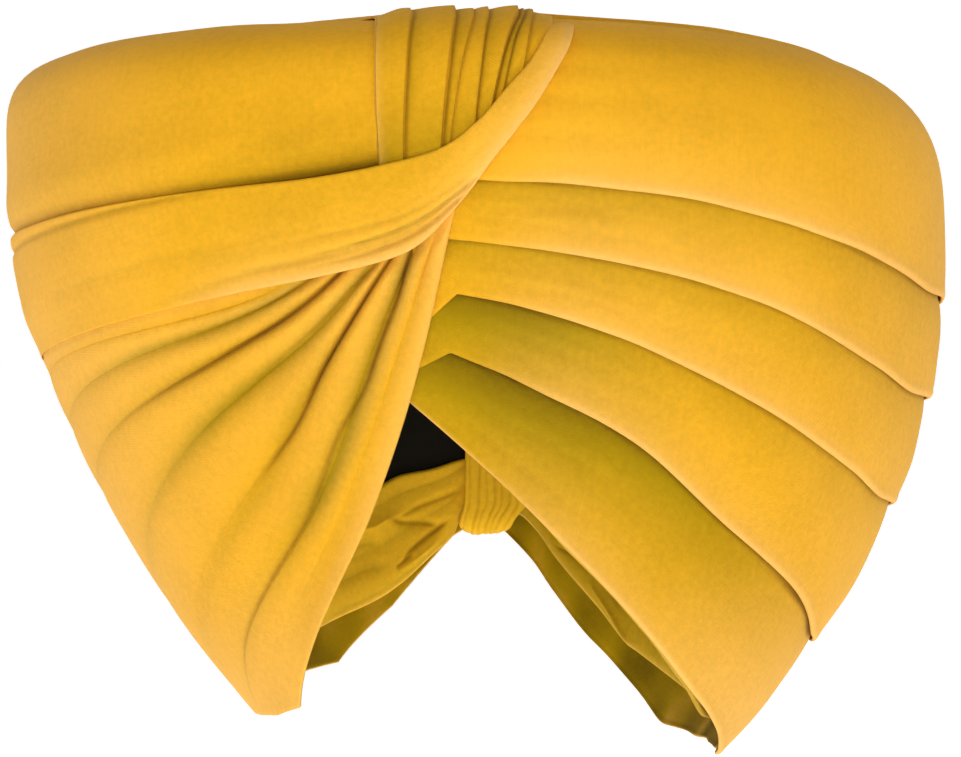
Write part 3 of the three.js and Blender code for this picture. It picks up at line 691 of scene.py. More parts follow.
def woven_group():
    """Plain-woven cotton: its colour, roughness and height from the cloth's own coordinates, with painted
    shade and painted highlights from the cloth's attributes.
    """
    name = "Woven cotton"
    if name in bpy.data.node_groups:
        return bpy.data.node_groups[name]
    group = bpy.data.node_groups.new(name, "ShaderNodeTree")
    for label, kind, default in [
        ("Lit", "Color", (0.8, 0.45, 0.05, 1)), ("Fold", "Color", (0.4, 0.25, 0.01, 1)),
        ("Edge", "Color", (0.9, 0.55, 0.1, 1)), ("Shut", "Color", (0.2, 0.08, 0, 1)),
        ("Pitch", "Float", 0.0004), ("Mottle", "Float", 0.5), ("Slub", "Float", 0.5), ("Matt", "Float", 0.85),
    ]:
        socket = group.interface.new_socket(label, in_out="INPUT", socket_type="NodeSocket" + kind)
        socket.default_value = default
    for label, kind in [("Colour", "Color"), ("Roughness", "Float"), ("Height", "Float")]:
        group.interface.new_socket(label, in_out="OUTPUT", socket_type="NodeSocket" + kind)
    given = node(group, "NodeGroupInput").outputs

    def maths(operation, *values):
        new = node(group, "ShaderNodeMath", {"operation": operation})
        for socket, value in zip(new.inputs, values):
            if isinstance(value, bpy.types.NodeSocket):
                group.links.new(value, socket)
            else:
                socket.default_value = value
        return new.outputs[0]

    def attribute(label, output="Fac"):
        return node(group, "ShaderNodeAttribute", {"attribute_name": label}).outputs[output]

    def noise(place, scale, detail, roughness):
        return node(group, "ShaderNodeTexNoise", Vector=place, Scale=scale, Detail=detail,
                    Roughness=roughness).outputs[0]

    cloth = attribute("cloth", "Vector")
    # Masks of painted shade in folds, painted highlights on edges and painted deep shade in shut folds
    crease, rim, deep = attribute("fold"), attribute("edge"), attribute("shut")
    parts = node(group, "ShaderNodeSeparateXYZ", Vector=cloth).outputs
    # The weave: threads over and under each other
    warp = maths("DIVIDE", parts["X"], given["Pitch"])
    weft = maths("DIVIDE", parts["Y"], given["Pitch"])
    warp = maths("SINE", maths("MULTIPLY", warp, math.pi))
    weft = maths("SINE", maths("MULTIPLY", weft, math.pi))
    weave = maths("MULTIPLY", warp, weft)
    # Slubs: thicker threads that run along and across the cloth
    streaks = []
    for scale in [(30, 1400, 1), (1400, 30, 1)]:
        stretched = node(group, "ShaderNodeVectorMath", {"operation": "MULTIPLY"}, i0=cloth, i1=scale)
        streaks.append(noise(stretched.outputs[0], 1.0, 2.0, 0.6))
    slub = maths("ADD", *streaks)
    slub = maths("MULTIPLY", maths("SUBTRACT", slub, 1.0), given["Slub"])
    # Mottling: where the dye and the wear are uneven
    place = node(group, "ShaderNodeTexCoord").outputs["Object"]
    broad = noise(place, 26.0, 3.0, 0.55)
    fine = noise(place, 520.0, 3.0, 0.6)
    mottle = maths("ADD", maths("MULTIPLY", broad, 0.9), fine)
    mottle = maths("MULTIPLY", maths("SUBTRACT", mottle, 0.95), given["Mottle"])
    # The colour: painted shade in folds, painted highlights on edges, and painted deep brown shade where a
    # fold is shut
    darker = maths("ADD", crease, maths("MULTIPLY", mottle, -0.35))
    tint = given["Lit"]
    for amount, label in [(darker, "Fold"), (rim, "Edge"), (deep, "Shut")]:
        tint = node(group, "ShaderNodeMix", {"data_type": "RGBA", "clamp_factor": True},
                    i0=amount, i6=tint, i7=given[label]).outputs[2]
    bright = maths("ADD", maths("MULTIPLY", mottle, 0.42), maths("MULTIPLY", slub, 0.22))
    bright = maths("ADD", bright, maths("MULTIPLY", weave, 0.015))
    # Past 1 the painted shade in folds darkens the colour further
    past = maths("MAXIMUM", maths("SUBTRACT", crease, 1.0), 0.0)
    left = maths("SUBTRACT", 1.0, maths("MULTIPLY", past, 1.1))
    bright = maths("ADD", bright, left)
    toned = node(group, "ShaderNodeVectorMath", {"operation": "SCALE"}, i0=tint)
    group.links.new(bright, toned.inputs["Scale"])
    rough = maths("ADD", given["Matt"], maths("MULTIPLY", slub, -0.12))
    rough = maths("ADD", rough, maths("MULTIPLY", rim, -0.06))
    height = maths("ADD", maths("MULTIPLY", weave, 0.3), maths("MULTIPLY", slub, 0.9))
    height = maths("ADD", height, maths("MULTIPLY", fine, 1.6))
    result = node(group, "NodeGroupOutput")
    group.links.new(toned.outputs[0], result.inputs["Colour"])
    group.links.new(rough, result.inputs["Roughness"])
    group.links.new(height, result.inputs["Height"])
    return group


def material(slot):
    """The cloth of a material slot of the record."""
    name, colours, mottle, slub, matt, relief, sheen, tint = CLOTHS[slot]
    if name in bpy.data.materials:
        return bpy.data.materials[name]
    c = bpy.context.scene.turban_cloth
    lit, fold, edge, shut = (tuple(getattr(c, key)) for key in colours.split())
    new = bpy.data.materials.new(name)
    new.use_nodes = True
    new.diffuse_color = lit
    tree = new.node_tree
    tree.nodes.clear()
    woven = node(tree, "ShaderNodeGroup", {"node_tree": woven_group()}, Lit=lit, Fold=fold,
                 Edge=edge, Shut=shut, Pitch=c.thread, Mottle=mottle, Slub=slub, Matt=matt).outputs
    bump = node(tree, "ShaderNodeBump", Strength=0.7, Distance=relief, Height=woven["Height"])
    shader = node(tree, "ShaderNodeBsdfPrincipled", Base_Color=woven["Colour"],
                  Roughness=woven["Roughness"], Normal=bump.outputs["Normal"], Specular_IOR_Level=0.08,
                  Sheen_Weight=sheen, Sheen_Roughness=0.45, Sheen_Tint=tint)
    node(tree, "ShaderNodeOutputMaterial", Surface=shader.outputs[0])
    return new


# The wraps' places and offsets

def tier():
    return sizes().wall + sizes().gap


def right_edge(name, azimuth):
    return curve(RIGHT_EDGES["azimuth"], RIGHT_EDGES[name], azimuth)


def band_low(azimuth):
    return curve(BAND["low_azimuth"], BAND["low"], azimuth)


def band_high(azimuth):
    return curve(BAND["high_azimuth"][6:], BAND["high"][6:], azimuth)


def under_band(azimuth, climb):
    """1 where the tuck and the crossing band hide the right wraps, which sink there."""
    return ease(curve(BAND["low"][:8], BAND["low_azimuth"][:8], climb) - azimuth, 0, 5)


def painted_wing_light(azimuth):
    """How much paler the cloth is painted out on the two wings: painted light where they are lit most."""
    return 0.42 * ease(np.abs(azimuth), 34, 84) * (1 - 0.6 * ease(np.abs(azimuth), 120, 165))


def fan_base(azimuth):
    """The fan and the band rise over the ends of the right wraps near the front."""
    return 2 * tier() * ease(azimuth, -34, -19)


def pressed(azimuth):
    """How deep the band presses into the cloth beside it on the left side."""
    return 1.3 * MM * (1 - ease(azimuth, -62, -30))


def run_out(azimuth):
    """1 where the fold along the band's lower edge has run out, and the cloth lies level."""
    return 1 - ease(azimuth, -60, -38)


def band_base(azimuth, climb):
    """The band comes down again where its end is tucked in on top."""
    return tier() - pressed(azimuth) + fan_base(azimuth) * (1 - 0.75 * ease(climb, 0.83, 0.93))


def wrap_offset(azimuth, climb, own, above, belly):
    """A right wrap leans out to its own edge, and follows the wrap above where it is under it."""
    low = right_edge(own, azimuth)
    high = right_edge(above, azimuth) if above else SHOULDER
    at = (climb - low) / (high - low)
    offset = tier() * (1 - at - under_band(azimuth, climb)) + belly * swell(at)
    if above is None:
        return np.where(at > 1, 0, offset)
    edge_above = {edge: up for _, edge, up, _ in RIGHT_WRAPS}
    return np.where(at > 1, wrap_offset(azimuth, climb, above, edge_above[above], 0) - tier(), offset)


def right_wrap(name, own, above, start):
    form, s = outer_form(), sizes()
    u = np.linspace(0, 1, 321)[:, None]
    u = mix(u, u ** 1.35, 0.5)
    azimuth = mix(start, BACK_END, u)
    low = right_edge(own, azimuth)
    number = RIGHT_WRAPS.index((name, own, above, start))
    look = list(each_row(RIGHT_LOOKS))[number]
    seed = number + 11
    low = low + 0.0022 * soft_noise(azimuth / 9, 0, seed) * ease(azimuth, -4, 4)
    low = low - look["turned"] * np.clip(look["corner"] - azimuth, 0, 9)
    if above:
        v = packed(38, 0.05)[None, :]
        climb = mix(low, right_edge(above, azimuth) + s.overlap / s.height, v)
    else:
        v = packed(66, 0.02)[None, :]
        climb = mix(low, SHOULDER + s.top_reach / s.height, v)
    azimuth = np.broadcast_to(azimuth, climb.shape)
    cloth = Cloth(name, "outer_cotton", form.point(azimuth, climb))
    cloth.base = wrap_offset(azimuth, climb, own, above, folds().belly)
    high = right_edge(above, azimuth) if above else SHOULDER
    at = np.clip((climb - low) / (high - low), 0, 1)
    free = swell(at) ** 0.5
    shown = ease(azimuth, -6, 4)
    cloth.base += folds().slack * free * shown * (
        soft_noise(azimuth / 16, 2.2 * at + 3, seed + 20) + 0.5 * soft_noise(azimuth / 7, 3 * at, seed + 40))
    near = cloth.from_edge("low")
    cloth.base += 0.3 * MM * fall(near - 1.6 * MM, 1.1 * MM)
    # Light pulls that run from the band into the wrap, with a little painted shade in them
    for n, (height, depth) in enumerate([(0.35, 0.5), (0.62, 0.45), (0.8, 0.35)]):
        wander = 0.05 * soft_noise(azimuth / 12, n, seed + 60)
        reach_in = ease(azimuth, -6, 0) * (1 - ease(azimuth, 10, 34))
        distance = (at - height - wander) * (high - low) * s.height
        cloth.crease(distance, depth * MM * reach_in, 1.8 * MM, 1.6, 0.2)
    cloth.thick *= 0.8
    # Uneven painted shade on its inner face
    cloth.inside = 1.1 + 0.4 * soft_noise(azimuth / 5, climb * 12, seed + 80)
    if above:
        # Painted shade under the wrap above, painted deep shade in the shut fold under its edge, and deeper
        # painted shade near the front
        under = np.clip((high - climb) * s.height, 0, 1)
        cloth.paint_deep_shade(look["shut"] * fall(under - 0.2 * MM, 0.6 * MM))
        cloth.shade(mix(0.8, 0.5, ease(azimuth, 0, 60)) * fall(under, 9 * MM, 1))
        in_front = 1 - ease(azimuth, 0, look["until"])
        cloth.shade(look["hollow"] * in_front * fall(under, look["lasting"] * MM, 1))
    # Painted highlights along its lower edge, and painted light out on the wing
    cloth.paint_highlight(ease(azimuth, -5, 15) * (0.4 * fall(near, 2.2 * MM) + 0.4 * fall(near, 9 * MM, 1)))
    cloth.paint_highlight(painted_wing_light(azimuth) * mix(1, 0.5, at))
    # On the fifth, a thin painted highlight along its lower edge and painted light down at the tips
    if own == "fifth":
        cloth.paint_highlight(0.7 * fall(near, 0.9 * MM))
        cloth.paint_highlight(0.6 * (1 - ease(climb, 0.02, 0.3)))
    return cloth.build()


def left_upper_wrap():
    form, s = outer_form(), sizes()
    u = np.linspace(0, 1, 261)[:, None]
    azimuth = mix(-11, -BACK_END, u)
    low = band_high(azimuth) - s.overlap / s.height
    v = packed(64, 0.02)[None, :]
    climb = mix(low, SHOULDER + s.top_reach / s.height, v)
    azimuth = np.broadcast_to(azimuth, climb.shape)
    cloth = Cloth("left_upper_wrap", "outer_cotton", form.point(azimuth, climb))
    above = (climb - band_high(azimuth)) * s.height
    near = np.clip(above, 0, 1)
    # It rolls out over the band and dips beside it, most of all near the front
    roll = fall(above - 9 * MM, 6.5 * MM)
    deep = mix(0.4, 1, fall(azimuth + 22, 16))
    cloth.base = 0.8 * MM * roll * mix(0.6, 1.6, deep) - 1.0 * MM * deep * fall(near, 3 * MM, 1)
    slack = 1.2 * soft_noise(azimuth / 22, climb * 9, 71) + 0.5 * soft_noise(azimuth / 9, climb * 16, 72)
    cloth.base += folds().slack * slack * ease(above, 0, 12 * MM)
    cloth.base -= pressed(azimuth) * (1 - ease(above, 0.5 * MM, 5 * MM))
    # A soft fold that comes off the band's edge
    line = band_high(azimuth) + 0.012 + 0.045 * ease(azimuth, -50, -20)
    there = ease(azimuth, -60, -36) * (1 - ease(azimuth, -26, -18))
    cloth.crease((climb - line) * s.height, 0.7 * MM * there, 4 * MM, 1.6, 0.3)
    # Painted deep shade and painted shade in the dip beside the band
    cloth.paint_deep_shade(0.7 * deep * fall(near, 1.6 * MM, 1.5))
    cloth.shade(1.1 * deep * fall(near, 3 * MM, 1.5))
    cloth.shade(0.8 * deep * fall(near, 7 * MM, 1))
    # Painted light out on the wing
    cloth.paint_highlight(painted_wing_light(azimuth))
    cloth.thick *= 0.8
    return cloth.build()


def left_fan():
    form, s = outer_form(), sizes()
    count = len(FAN_FOLDS["az0"])
    at = fold_places(count, 17)[:, None]
    # Two more columns close to the open edge, which round it off
    at[1:3, 0] = [0.015, 0.04]
    v = packed(232, 0.008, 3)[None, :]
    one = np.minimum(np.floor(at).astype(int), count - 2)
    by = at - one

    def place(kind):
        stations = np.stack([FAN_FOLDS[f"{kind}{n}"] for n in range(4)])
        lines = np.stack([along(stations[:, k], 3 * v[0]) for k in range(count)])
        return mix(lines[one[:, 0]], lines[one[:, 0] + 1], by)

    azimuth = np.maximum(place("az"), -BACK_END)
    climb = place("h")
    cloth = Cloth("left_fan", "outer_cotton", form.point(azimuth, climb))
    room = band_low(azimuth) - climb
    below = ease(room, 0.002, 0.022)
    full = FAN_FOLDS["puff"][one] * mix(1, 0.25, v)
    cloth.base = fan_base(azimuth) + folds().fan * full * (1 - v) ** 0.8 * swell(by) ** 0.8 * below
    # Under the band it sinks by more than the band's own cloth
    deep = mix(0.2, 0.4, run_out(azimuth)) * MM * (1 - ease(room * s.height, 0, 1.5 * MM))
    cloth.base -= deep
    cloth.base -= 0.6 * MM * (1 - ease(room * s.height, -10 * MM, 0))
    for k, row in enumerate(each_row(FAN_CREASES)):
        column = int(np.argmin(np.abs(at[:, 0] - row["fold"])))
        distance = cloth.along - cloth.along[column] + (0.6 + 2 * v) * MM * soft_noise(v * 7, k, 90)
        depth = along([row["pinch"], row["upper"], row["middle"], row["rim"], 0], 4 * v) * MM
        width = mix(row["narrow"], row["wide"], v ** 0.8) * MM
        cloth.crease(distance, depth * ease(room, -0.02, 0.004), width, mix(1.0, 1.5, v), row["dark"])
    cloth.base += folds().slack * soft_noise(at * 1.3, v * 6, 91) * below * ease(v, 0.1, 0.3)
    # Painted highlights along its open edge and its top edge, on the tops of its puffs, out on the wing and
    # down at the tips
    cloth.paint_highlight(0.4 * fall(cloth.from_edge("start"), 5 * MM) + 0.3 * fall(cloth.from_edge("high"), 2.5 * MM))
    cloth.paint_highlight(0.3 * swell(by) * (1 - v) + painted_wing_light(azimuth) * ease(v, 0.2, 0.6))
    cloth.paint_highlight(0.5 * (1 - ease(climb, 0.03, 0.35)))
    # Uneven painted shade on its inner face
    cloth.inside = 1.1 + 0.35 * soft_noise(azimuth / 6, climb * 14, 92)
    cloth.thick *= 0.85
    return cloth.build()


def cross_band():
    form, s = outer_form(), sizes()
    last = len(BAND["low"]) - 1
    at = last * np.linspace(0, 1, 391)[:, None]
    v = packed(48, 0.05)[None, :]
    azimuth = mix(along(BAND["low_azimuth"], at), along(BAND["high_azimuth"], at), v)
    climb = mix(along(BAND["low"], at), along(BAND["high"], at), v)
    azimuth = np.maximum(azimuth, -BACK_END)
    cloth = Cloth("cross_band", "outer_cotton", form.point(azimuth, climb))
    cloth.base = band_base(azimuth, climb) + folds().belly * swell(ease(v, -0.15, 1.15))
    flat = cloth.across
    # On the left its lower edge is one thin ply that lies level with the fan
    lip = run_out(azimuth) * (1 - ease(flat, 0, 15 * MM))
    cloth.base = mix(cloth.base, 0.3 * MM, lip)
    # Its end on top goes in under the first wrap
    cloth.base -= 4.5 * MM * ease(climb, 0.9, 1)
    # Fine pleats that fan out from the pinch along the band's lower part
    for k, row in enumerate(each_row(BAND_PLEATS)):
        share_on = (at - row["first"]) / (row["last"] - row["first"])
        centre = along([row["from"], row["middle"], row["to"]], 2 * share_on)
        centre = centre + 0.01 * soft_noise(at * 2, k, 120)
        there = ease(share_on, 0, 0.15) * (1 - ease(share_on, 0.6, 1))
        distance = (v - centre) * flat[:, -1:]
        cloth.crease(distance, row["depth"] * MM * there, row["width"] * MM, 1.2, row["dark"])
    # The second fold beside its upper edge on the left side
    fade = ease(at, 8.6, 9.6)
    gap = mix(0.4, 4.6, ease(at, 8.6, 12)) * MM
    cloth.crease(flat[:, -1:] - flat - gap, 1.3 * MM * fade, 0.9 * MM, 1.2, 0.5)
    slack = soft_noise(at * 1.1, v * 2.2, 121) + 0.5 * soft_noise(at * 2.4, v * 3.5, 122)
    cloth.base += folds().slack * slack * ease(at, 5, 8)
    near = cloth.from_edge("low")
    # Painted shade on the left away from its lower edge, painted highlights along that edge, and painted
    # light out on the wing
    cloth.shade(0.2 * ease(azimuth, -60, -20) * ease(near, 4 * MM, 14 * MM))
    cloth.paint_highlight((0.3 * fall(near, 2.4 * MM) + 0.45 * fall(near, 7 * MM, 1)) * ease(azimuth, -52, -30))
    cloth.paint_highlight(painted_wing_light(azimuth))
    cloth.thick = mix(cloth.thick * 0.85, 0.35 * MM, lip)
    return cloth.build()


def crown_wrap():
    form, s = outer_form(), sizes()
    last, count = len(CROWN["left"]) - 1, len(CROWN_PLEATS["foot"])
    fold = fold_places(count, 24)[:, None]
    # Two more columns close to each side, which round it off
    fold[1:3, 0] = [0.02, 0.05]
    fold[-3:-1, 0] = [count - 1.05, count - 1.02]
    v = packed(200, 0.006, 3)[None, :]
    at = last * mix(v, v ** 1.25, 0.7)
    one = np.minimum(np.floor(fold).astype(int), count - 2)
    by = fold - one
    climbed = ease(at, 0, 2)
    place = mix(mix(CROWN_PLEATS["foot"][one], CROWN_PLEATS["top"][one], climbed),
                mix(CROWN_PLEATS["foot"][one + 1], CROWN_PLEATS["top"][one + 1], climbed), by)
    half = s.crown_width / 2
    x = mix(-half * along(CROWN["left"], at), half * along(CROWN["right"], at), place)
    turn = mix(along(CROWN["left_turn"], at), along(CROWN["right_turn"], at), place ** 2.5)
    pivot = (0, 0, form.height_at(CROWN_PIVOT))
    cloth = Cloth("crown_wrap", "outer_cotton", form.turned(x, turn), pivot)
    gathered = 1 - 0.8 * ease(at, 2, 4) * (1 - ease(at, 7, 10))
    base = (s.crown_gap * (1 - ease(at, 5.5, 7)) + s.gap * (1 - ease(at, 0, 1.5))
            + (tier() + folds().belly) * ease(at, 6.5, 8))
    # Its foot goes down under the band
    base = base - 2.6 * MM * (1 - ease(at, 0, 1)) * ease(place, 0.5, 0.8)
    # Each pleat rises to its right edge, where it folds under and lies on the next
    tall = CROWN_PLEATS["tall"][one]
    knife = by ** 1.3 * (1 - ease(by, 0.965, 1)) + 0.35 * swell(by)
    cloth.base = base + s.wall + folds().pleat * tall * gathered * knife
    for k in range(1, count - 1):
        column = int(np.argmin(np.abs(fold[:, 0] - k)))
        beyond = cloth.along - cloth.along[column] + 0.4 * MM * soft_noise(at * 2, k, 130)
        dark = CROWN_PLEATS["dark"][k] * gathered * mix(1, 0.35, ease(at, 1.2, 3))
        # Painted deep shade at each fold, and painted shade fading out on the pleat past it
        cloth.paint_deep_shade(0.7 * dark * fall(beyond - 0.3 * MM, 0.7 * MM))
        cloth.shade(0.9 * dark * fall(np.clip(beyond, 0, 1), 4 * MM, 1) * (beyond > 0))
    # Painted shade, deep at the tuck's foot under the band, light further up, and gone by the top
    cloth.shade(mix(0.9, 0.14, ease(at, 0, 1.1)) * (1 - ease(at, 2, 4)))
    # Its sides thin out to one ply, and lie down on the wraps below
    beside = cloth.from_edge("start", "end")
    lip = 1 - ease(beside, 0, mix(8, 18, ease(at, 2, 4)) * MM)
    lip = lip * mix(0.65, 1, ease(at, 1.5, 3.5)) * (1 - ease(at, 7, 9))
    cloth.base = mix(cloth.base, 0.5 * MM, lip)
    cloth.base += folds().slack * soft_noise(x / 0.02, at * 1.5, 131) * ease(at, 3, 5)
    # Painted highlights along its sides
    cloth.paint_highlight(0.3 * fall(beside, 2 * MM))
    cloth.thick = mix(cloth.thick * 0.85, 0.4 * MM, lip)
    return cloth.build()


def inner_wrap(name, rows, ends, painted_shade, seed):
    """An inner wrap between two azimuths, drawn into gathers towards the back."""
    form, s = head_form(), sizes()
    u = np.linspace(0, 1, 321)[:, None] ** 0.7
    v = packed(78, 0.03)[None, :]
    azimuth = mix(ends[0], ends[1], u)
    low = curve(rows["azimuth"], rows["low"], azimuth)
    climb = mix(low, curve(rows["azimuth"], rows["high"], azimuth), v)
    azimuth = np.broadcast_to(azimuth, climb.shape)
    cloth = Cloth(name, "inner_cotton", form.point(azimuth, climb, 2))
    cloth.base = np.full(climb.shape, -s.cap_gap)
    drawn = ease(u, 0.5, 0.95)
    wavy = folds().gather * (0.5 + 0.5 * soft_noise(u * 7, v * 4 + u * 3, seed)) * swell(v) ** 0.3
    waves = 2.4 * v + 0.5 * soft_noise(u * 5, v * 2, seed + 1)
    gathers = 0.5 * folds().gather * np.abs(np.sin(np.pi * waves)) * drawn
    cloth.thick = s.wall + wavy + gathers
    # Painted shade over the whole wrap, and more of it between the gathers towards the back
    cloth.shade(painted_shade + 0.25 * drawn * (1 - gathers / folds().gather) ** 8)
    for k, row in enumerate(each_row(INNER_CREASES)):
        if row["azimuth0"] * ends[1] < 0:
            continue
        share_on = (azimuth - row["azimuth0"]) / (row["azimuth1"] - row["azimuth0"])
        line = mix(row["climb0"], row["climb1"], share_on) + 0.003 * soft_noise(share_on * 3, k, seed + 2)
        there = ease(share_on, -0.05, 0.25) * (1 - ease(share_on, 0.75, 1.05))
        cloth.dent((climb - line) * s.height, row["depth"] * MM * there, row["width"] * MM, row["dark"])
    # A painted highlight along its lower edge
    cloth.paint_highlight(0.4 * fall(cloth.from_edge("low"), 2 * MM))
    return cloth.build()


def cap():
    form, s = head_form(), sizes()
    azimuth = np.linspace(-180, 180, 97)[:-1, None]
    v = np.linspace(0, 1, 49)[None, :] ** 0.9
    v[0, 1:4] = [0.004, 0.012, 0.025]
    low = curve(CAP_EDGE["azimuth"], CAP_EDGE["height"], azimuth)
    climb = mix(low, 0.675, np.sin(math.pi / 2 * v))
    azimuth = np.broadcast_to(azimuth, climb.shape)
    points = form.point(azimuth, climb, 2)
    points[:, -1] = (0, 0, 0)
    cloth = Cloth("inner_cap", "cap_cloth", points, centre=(0, 0, -0.1), ring=True, pole=True)
    cloth.normals[:, -1] = (0, 0, 1)
    wavy = 0.25 * MM * soft_noise(azimuth / 15, climb * 12, 150)
    cloth.base = s.cap_wall + wavy * (1 - v ** 4)
    cloth.thick = np.full(climb.shape, s.cap_wall)
    return cloth.build()


def back_knot():
    s = sizes()
    last = len(KNOT_LOOP["out"]) - 1
    at = last * packed(120, 0.01, 3)[None, :]
    u = packed(90, 0.02, 3)[:, None]
    face = 0.925 * s.head_length / 2

    def line(place):
        return (face + s.knot_depth * along(KNOT_LOOP["out"], place),
                -s.seat_rise + s.height * along(KNOT_LOOP["height"], place))

    y, z = line(at)
    half = s.knot_width / 2 * (1 + 0.12 * at / last)
    # It leans: its foot lies further to the left than its top
    upper = ease((z + s.seat_rise) / s.height, 0.272, 0.325)
    x = s.knot_shift + half * (2 * u - 1) + mix(mix(-1.2, 0.8, upper), mix(-5.6, 0.8, upper), u) * MM
    z = z + 2.4 * MM * (1 - upper) * np.abs(2 * u - 1) ** 3
    points = np.stack(np.broadcast_arrays(x, y, z), -1)
    cloth = Cloth("back_knot", "inner_cotton", points, centre=(0, face + 0.5 * s.knot_depth, -0.03))
    ahead = np.array(line(at + 0.1)) - np.array(line(at - 0.1))
    ahead = ahead / np.linalg.norm(ahead, axis=0)
    cloth.normals = np.stack(np.broadcast_arrays(np.zeros(x.shape), ahead[1], -ahead[0]), -1)
    cloth.base = s.wall + folds().knot * (0.6 + 0.5 * soft_noise(at * 0.7, u * 4, 160)) * swell(u) ** 0.5
    cloth.thick = cloth.base - 0.2 * MM
    # Its pleats, pressed in with painted shade in them, each rising after its fold
    for k, (place, dark) in enumerate(KNOT_FOLDS):
        beyond = (u - place - 0.02 * soft_noise(at * 0.9, k, 161)) * 2 * half
        depth = dark * 0.9 * MM * mix(1, 0.5, ease(at, 2, 4) * (1 - ease(at, 6, 8)))
        cloth.crease(beyond, depth, 0.6 * MM, 1.2, 1.05)
        cloth.base += 0.4 * MM * fall(np.clip(beyond, 0, 1), 1.4 * MM, 1) * (beyond > 0)
    return cloth.build()


# Studio

def softbox(name, place, target, size, power, tone):
    data = bpy.data.lights.new(name, "AREA")
    data.shape = "RECTANGLE"
    data.size, data.size_y, data.energy, data.color = size[0], size[1], power, tone
    lamp = bpy.data.objects.new(name, data)
    lamp.location = place
    lamp.rotation_euler = (Vector(target) - Vector(place)).to_track_quat("-Z", "Y").to_euler()
    bpy.context.scene.collection.objects.link(lamp)


def studio():
    t = bpy.context.scene.turban_studio
    scene = bpy.context.scene
    data = bpy.data.cameras.new("front_camera")
    data.sensor_fit, data.sensor_width, data.lens = "HORIZONTAL", 36, t.lens
    camera = bpy.data.objects.new("front_camera", data)
    camera.location = (t.camera_shift, -t.camera_far, -t.camera_drop)
    camera.rotation_euler = (math.pi / 2, 0, 0)
    scene.collection.objects.link(camera)
    scene.camera = camera
    # A floor that curves up into the backdrop
    bend, far, side, top = 1.2, t.backdrop_far, 4.5, 4.0
    profile = [(-side, 0.0), (far - bend, 0.0)]
    for turn in np.linspace(0, math.pi / 2, 25)[1:]:
        profile.append((far - bend + bend * math.sin(turn), bend * (1 - math.cos(turn))))
    profile.append((far, top))
    points = [(x, y, z - t.floor_drop) for y, z in profile for x in (-side, side)]
    faces = [(2 * i, 2 * i + 1, 2 * i + 3, 2 * i + 2) for i in range(len(profile) - 1)]
    mesh = bpy.data.meshes.new("studio_floor")
    mesh.from_pydata(points, [], faces)
    mesh.polygons.foreach_set("use_smooth", [True] * len(faces))
    paint = bpy.data.materials.new("Studio paper")
    paint.use_nodes = True
    shader = paint.node_tree.nodes["Principled BSDF"]
    shader.inputs["Base Color"].default_value = tuple(t.backdrop)
    shader.inputs["Roughness"].default_value = 0.9
    shader.inputs["Emission Color"].default_value = (1, 1, 1, 1)
    shader.inputs["Emission Strength"].default_value = t.glow
    mesh.materials.append(paint)
    floor = bpy.data.objects.new("studio_floor", mesh)
    scene.collection.objects.link(floor)
    softbox("key_light", (1.5, -2.0, 0.9), (0, 0, -0.04), (1.6, 1.6), t.key, (1, 0.98, 0.95))
    softbox("fill_light", (-1.7, -1.7, 0.5), (0, 0, -0.04), (1.8, 1.8), t.fill, (0.97, 0.98, 1))
    softbox("front_light", (0, -2.2, -0.35), (0, 0, -0.06), (0.9, 0.7), t.front, (1, 0.98, 0.94))
    softbox("top_light", (0, 0.3, 2.2), (0, 0, 0), (2.6, 2.6), t.top, (1, 1, 1))
    softbox("rim_light_left", (-1.5, 0.9, 0.5), (0, 0, -0.04), (1.0, 1.6), t.rim, (1, 1, 1))
    softbox("rim_light_right", (1.5, 0.9, 0.5), (0, 0, -0.04), (1.0, 1.6), t.rim, (1, 1, 1))
    world = bpy.data.worlds.new("Studio air")
    world.use_nodes = True
    air = world.node_tree
    air.nodes["Background"].inputs["Strength"].default_value = t.sky
    seen = node(air, "ShaderNodeBackground", Color=tuple(t.backdrop), Strength=1.0)
    path = node(air, "ShaderNodeLightPath")
    chosen = node(air, "ShaderNodeMixShader", i0=path.outputs["Is Camera Ray"],
                  i1=air.nodes["Background"].outputs[0], i2=seen.outputs[0])
    air.links.new(chosen.outputs[0], air.nodes["World Output"].inputs["Surface"])
    scene.world = world
    scene.view_settings.view_transform = "Standard"


# Operators, panel and main

class TURBAN_OT_right_wraps(bpy.types.Operator):
    """Build the five stepped wraps of the right wing"""
    bl_idname = "turban.right_wraps"
    bl_label = "Right wraps"

    def execute(self, context):
        for wrap in RIGHT_WRAPS:
            right_wrap(*wrap)
        return {"FINISHED"}


class TURBAN_OT_left_upper_wrap(bpy.types.Operator):
    """Build the smooth panel over the left side"""
    bl_idname = "turban.left_upper_wrap"
    bl_label = "Left upper wrap"

    def execute(self, context):
        left_upper_wrap()
        return {"FINISHED"}


class TURBAN_OT_left_fan(bpy.types.Operator):
    """Build the gathered fan that spreads from the pinch"""
    bl_idname = "turban.left_fan"
    bl_label = "Left fan"

    def execute(self, context):
        left_fan()
        return {"FINISHED"}


class TURBAN_OT_cross_band(bpy.types.Operator):
    """Build the band that crosses the front"""
    bl_idname = "turban.cross_band"
    bl_label = "Crossing band"

    def execute(self, context):
        cross_band()
        return {"FINISHED"}


class TURBAN_OT_crown_wrap(bpy.types.Operator):
    """Build the pleated wrap over the crown"""
    bl_idname = "turban.crown_wrap"
    bl_label = "Crown wrap"

    def execute(self, context):
        crown_wrap()
        return {"FINISHED"}


class TURBAN_OT_inner_wraps(bpy.types.Operator):
    """Build the two wraps that hug the head inside the wings"""
    bl_idname = "turban.inner_wraps"
    bl_label = "Inner wraps"

    def execute(self, context):
        # The last but one number is the painted shade over each wrap
        inner_wrap("inner_wrap_left", INNER_LEFT, (-24, -BACK_END), 0.05, 140)
        inner_wrap("inner_wrap_right", INNER_RIGHT, (3, BACK_END), 0.65, 145)
        return {"FINISHED"}


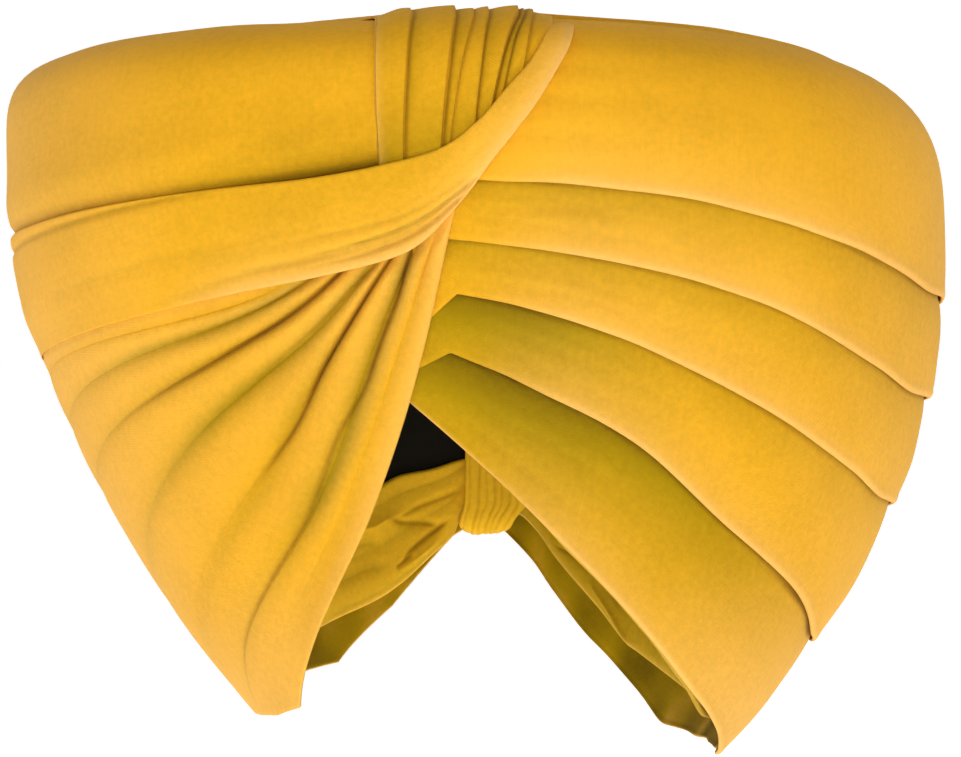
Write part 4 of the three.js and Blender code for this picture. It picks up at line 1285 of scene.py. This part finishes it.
class TURBAN_OT_cap(bpy.types.Operator):
    """Build the dark cap inside"""
    bl_idname = "turban.cap"
    bl_label = "Cap"

    def execute(self, context):
        cap()
        return {"FINISHED"}


class TURBAN_OT_back_knot(bpy.types.Operator):
    """Build the pleated loop that gathers the rims at the back"""
    bl_idname = "turban.back_knot"
    bl_label = "Back knot"

    def execute(self, context):
        back_knot()
        return {"FINISHED"}


class TURBAN_OT_studio(bpy.types.Operator):
    """Set up the camera, the lights, the floor and the backdrop"""
    bl_idname = "turban.studio"
    bl_label = "Studio"

    def execute(self, context):
        studio()
        return {"FINISHED"}


OPERATORS = [
    TURBAN_OT_right_wraps, TURBAN_OT_left_upper_wrap, TURBAN_OT_left_fan, TURBAN_OT_cross_band,
    TURBAN_OT_crown_wrap, TURBAN_OT_inner_wraps, TURBAN_OT_cap, TURBAN_OT_back_knot, TURBAN_OT_studio,
]
SETTINGS = {
    "turban_sizes": TurbanSizes, "turban_folds": TurbanFolds,
    "turban_cloth": TurbanCloth, "turban_studio": TurbanStudio,
}


class TURBAN_PT_pieces(bpy.types.Panel):
    """Lists the turban's pieces and their settings"""
    bl_idname = "TURBAN_PT_pieces"
    bl_label = "Pagri turban"
    bl_space_type = "VIEW_3D"
    bl_region_type = "UI"
    bl_category = "Turban"

    def draw(self, context):
        for operator in OPERATORS:
            self.layout.operator(operator.bl_idname)
        for name, group in SETTINGS.items():
            box = self.layout.box()
            box.label(text=group.__name__)
            for key in group.__annotations__:
                box.prop(getattr(context.scene, name), key)


def register():
    for item in [*SETTINGS.values(), *OPERATORS, TURBAN_PT_pieces]:
        bpy.utils.register_class(item)
    for name, group in SETTINGS.items():
        setattr(bpy.types.Scene, name, bpy.props.PointerProperty(type=group))


def unregister():
    for name in SETTINGS:
        delattr(bpy.types.Scene, name)
    for item in reversed([*SETTINGS.values(), *OPERATORS, TURBAN_PT_pieces]):
        bpy.utils.unregister_class(item)


def main():
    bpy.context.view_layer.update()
    register()
    for operator in OPERATORS:
        group, name = operator.bl_idname.split(".")
        getattr(getattr(bpy.ops, group), name)()


if __name__ == "__main__":
    main()
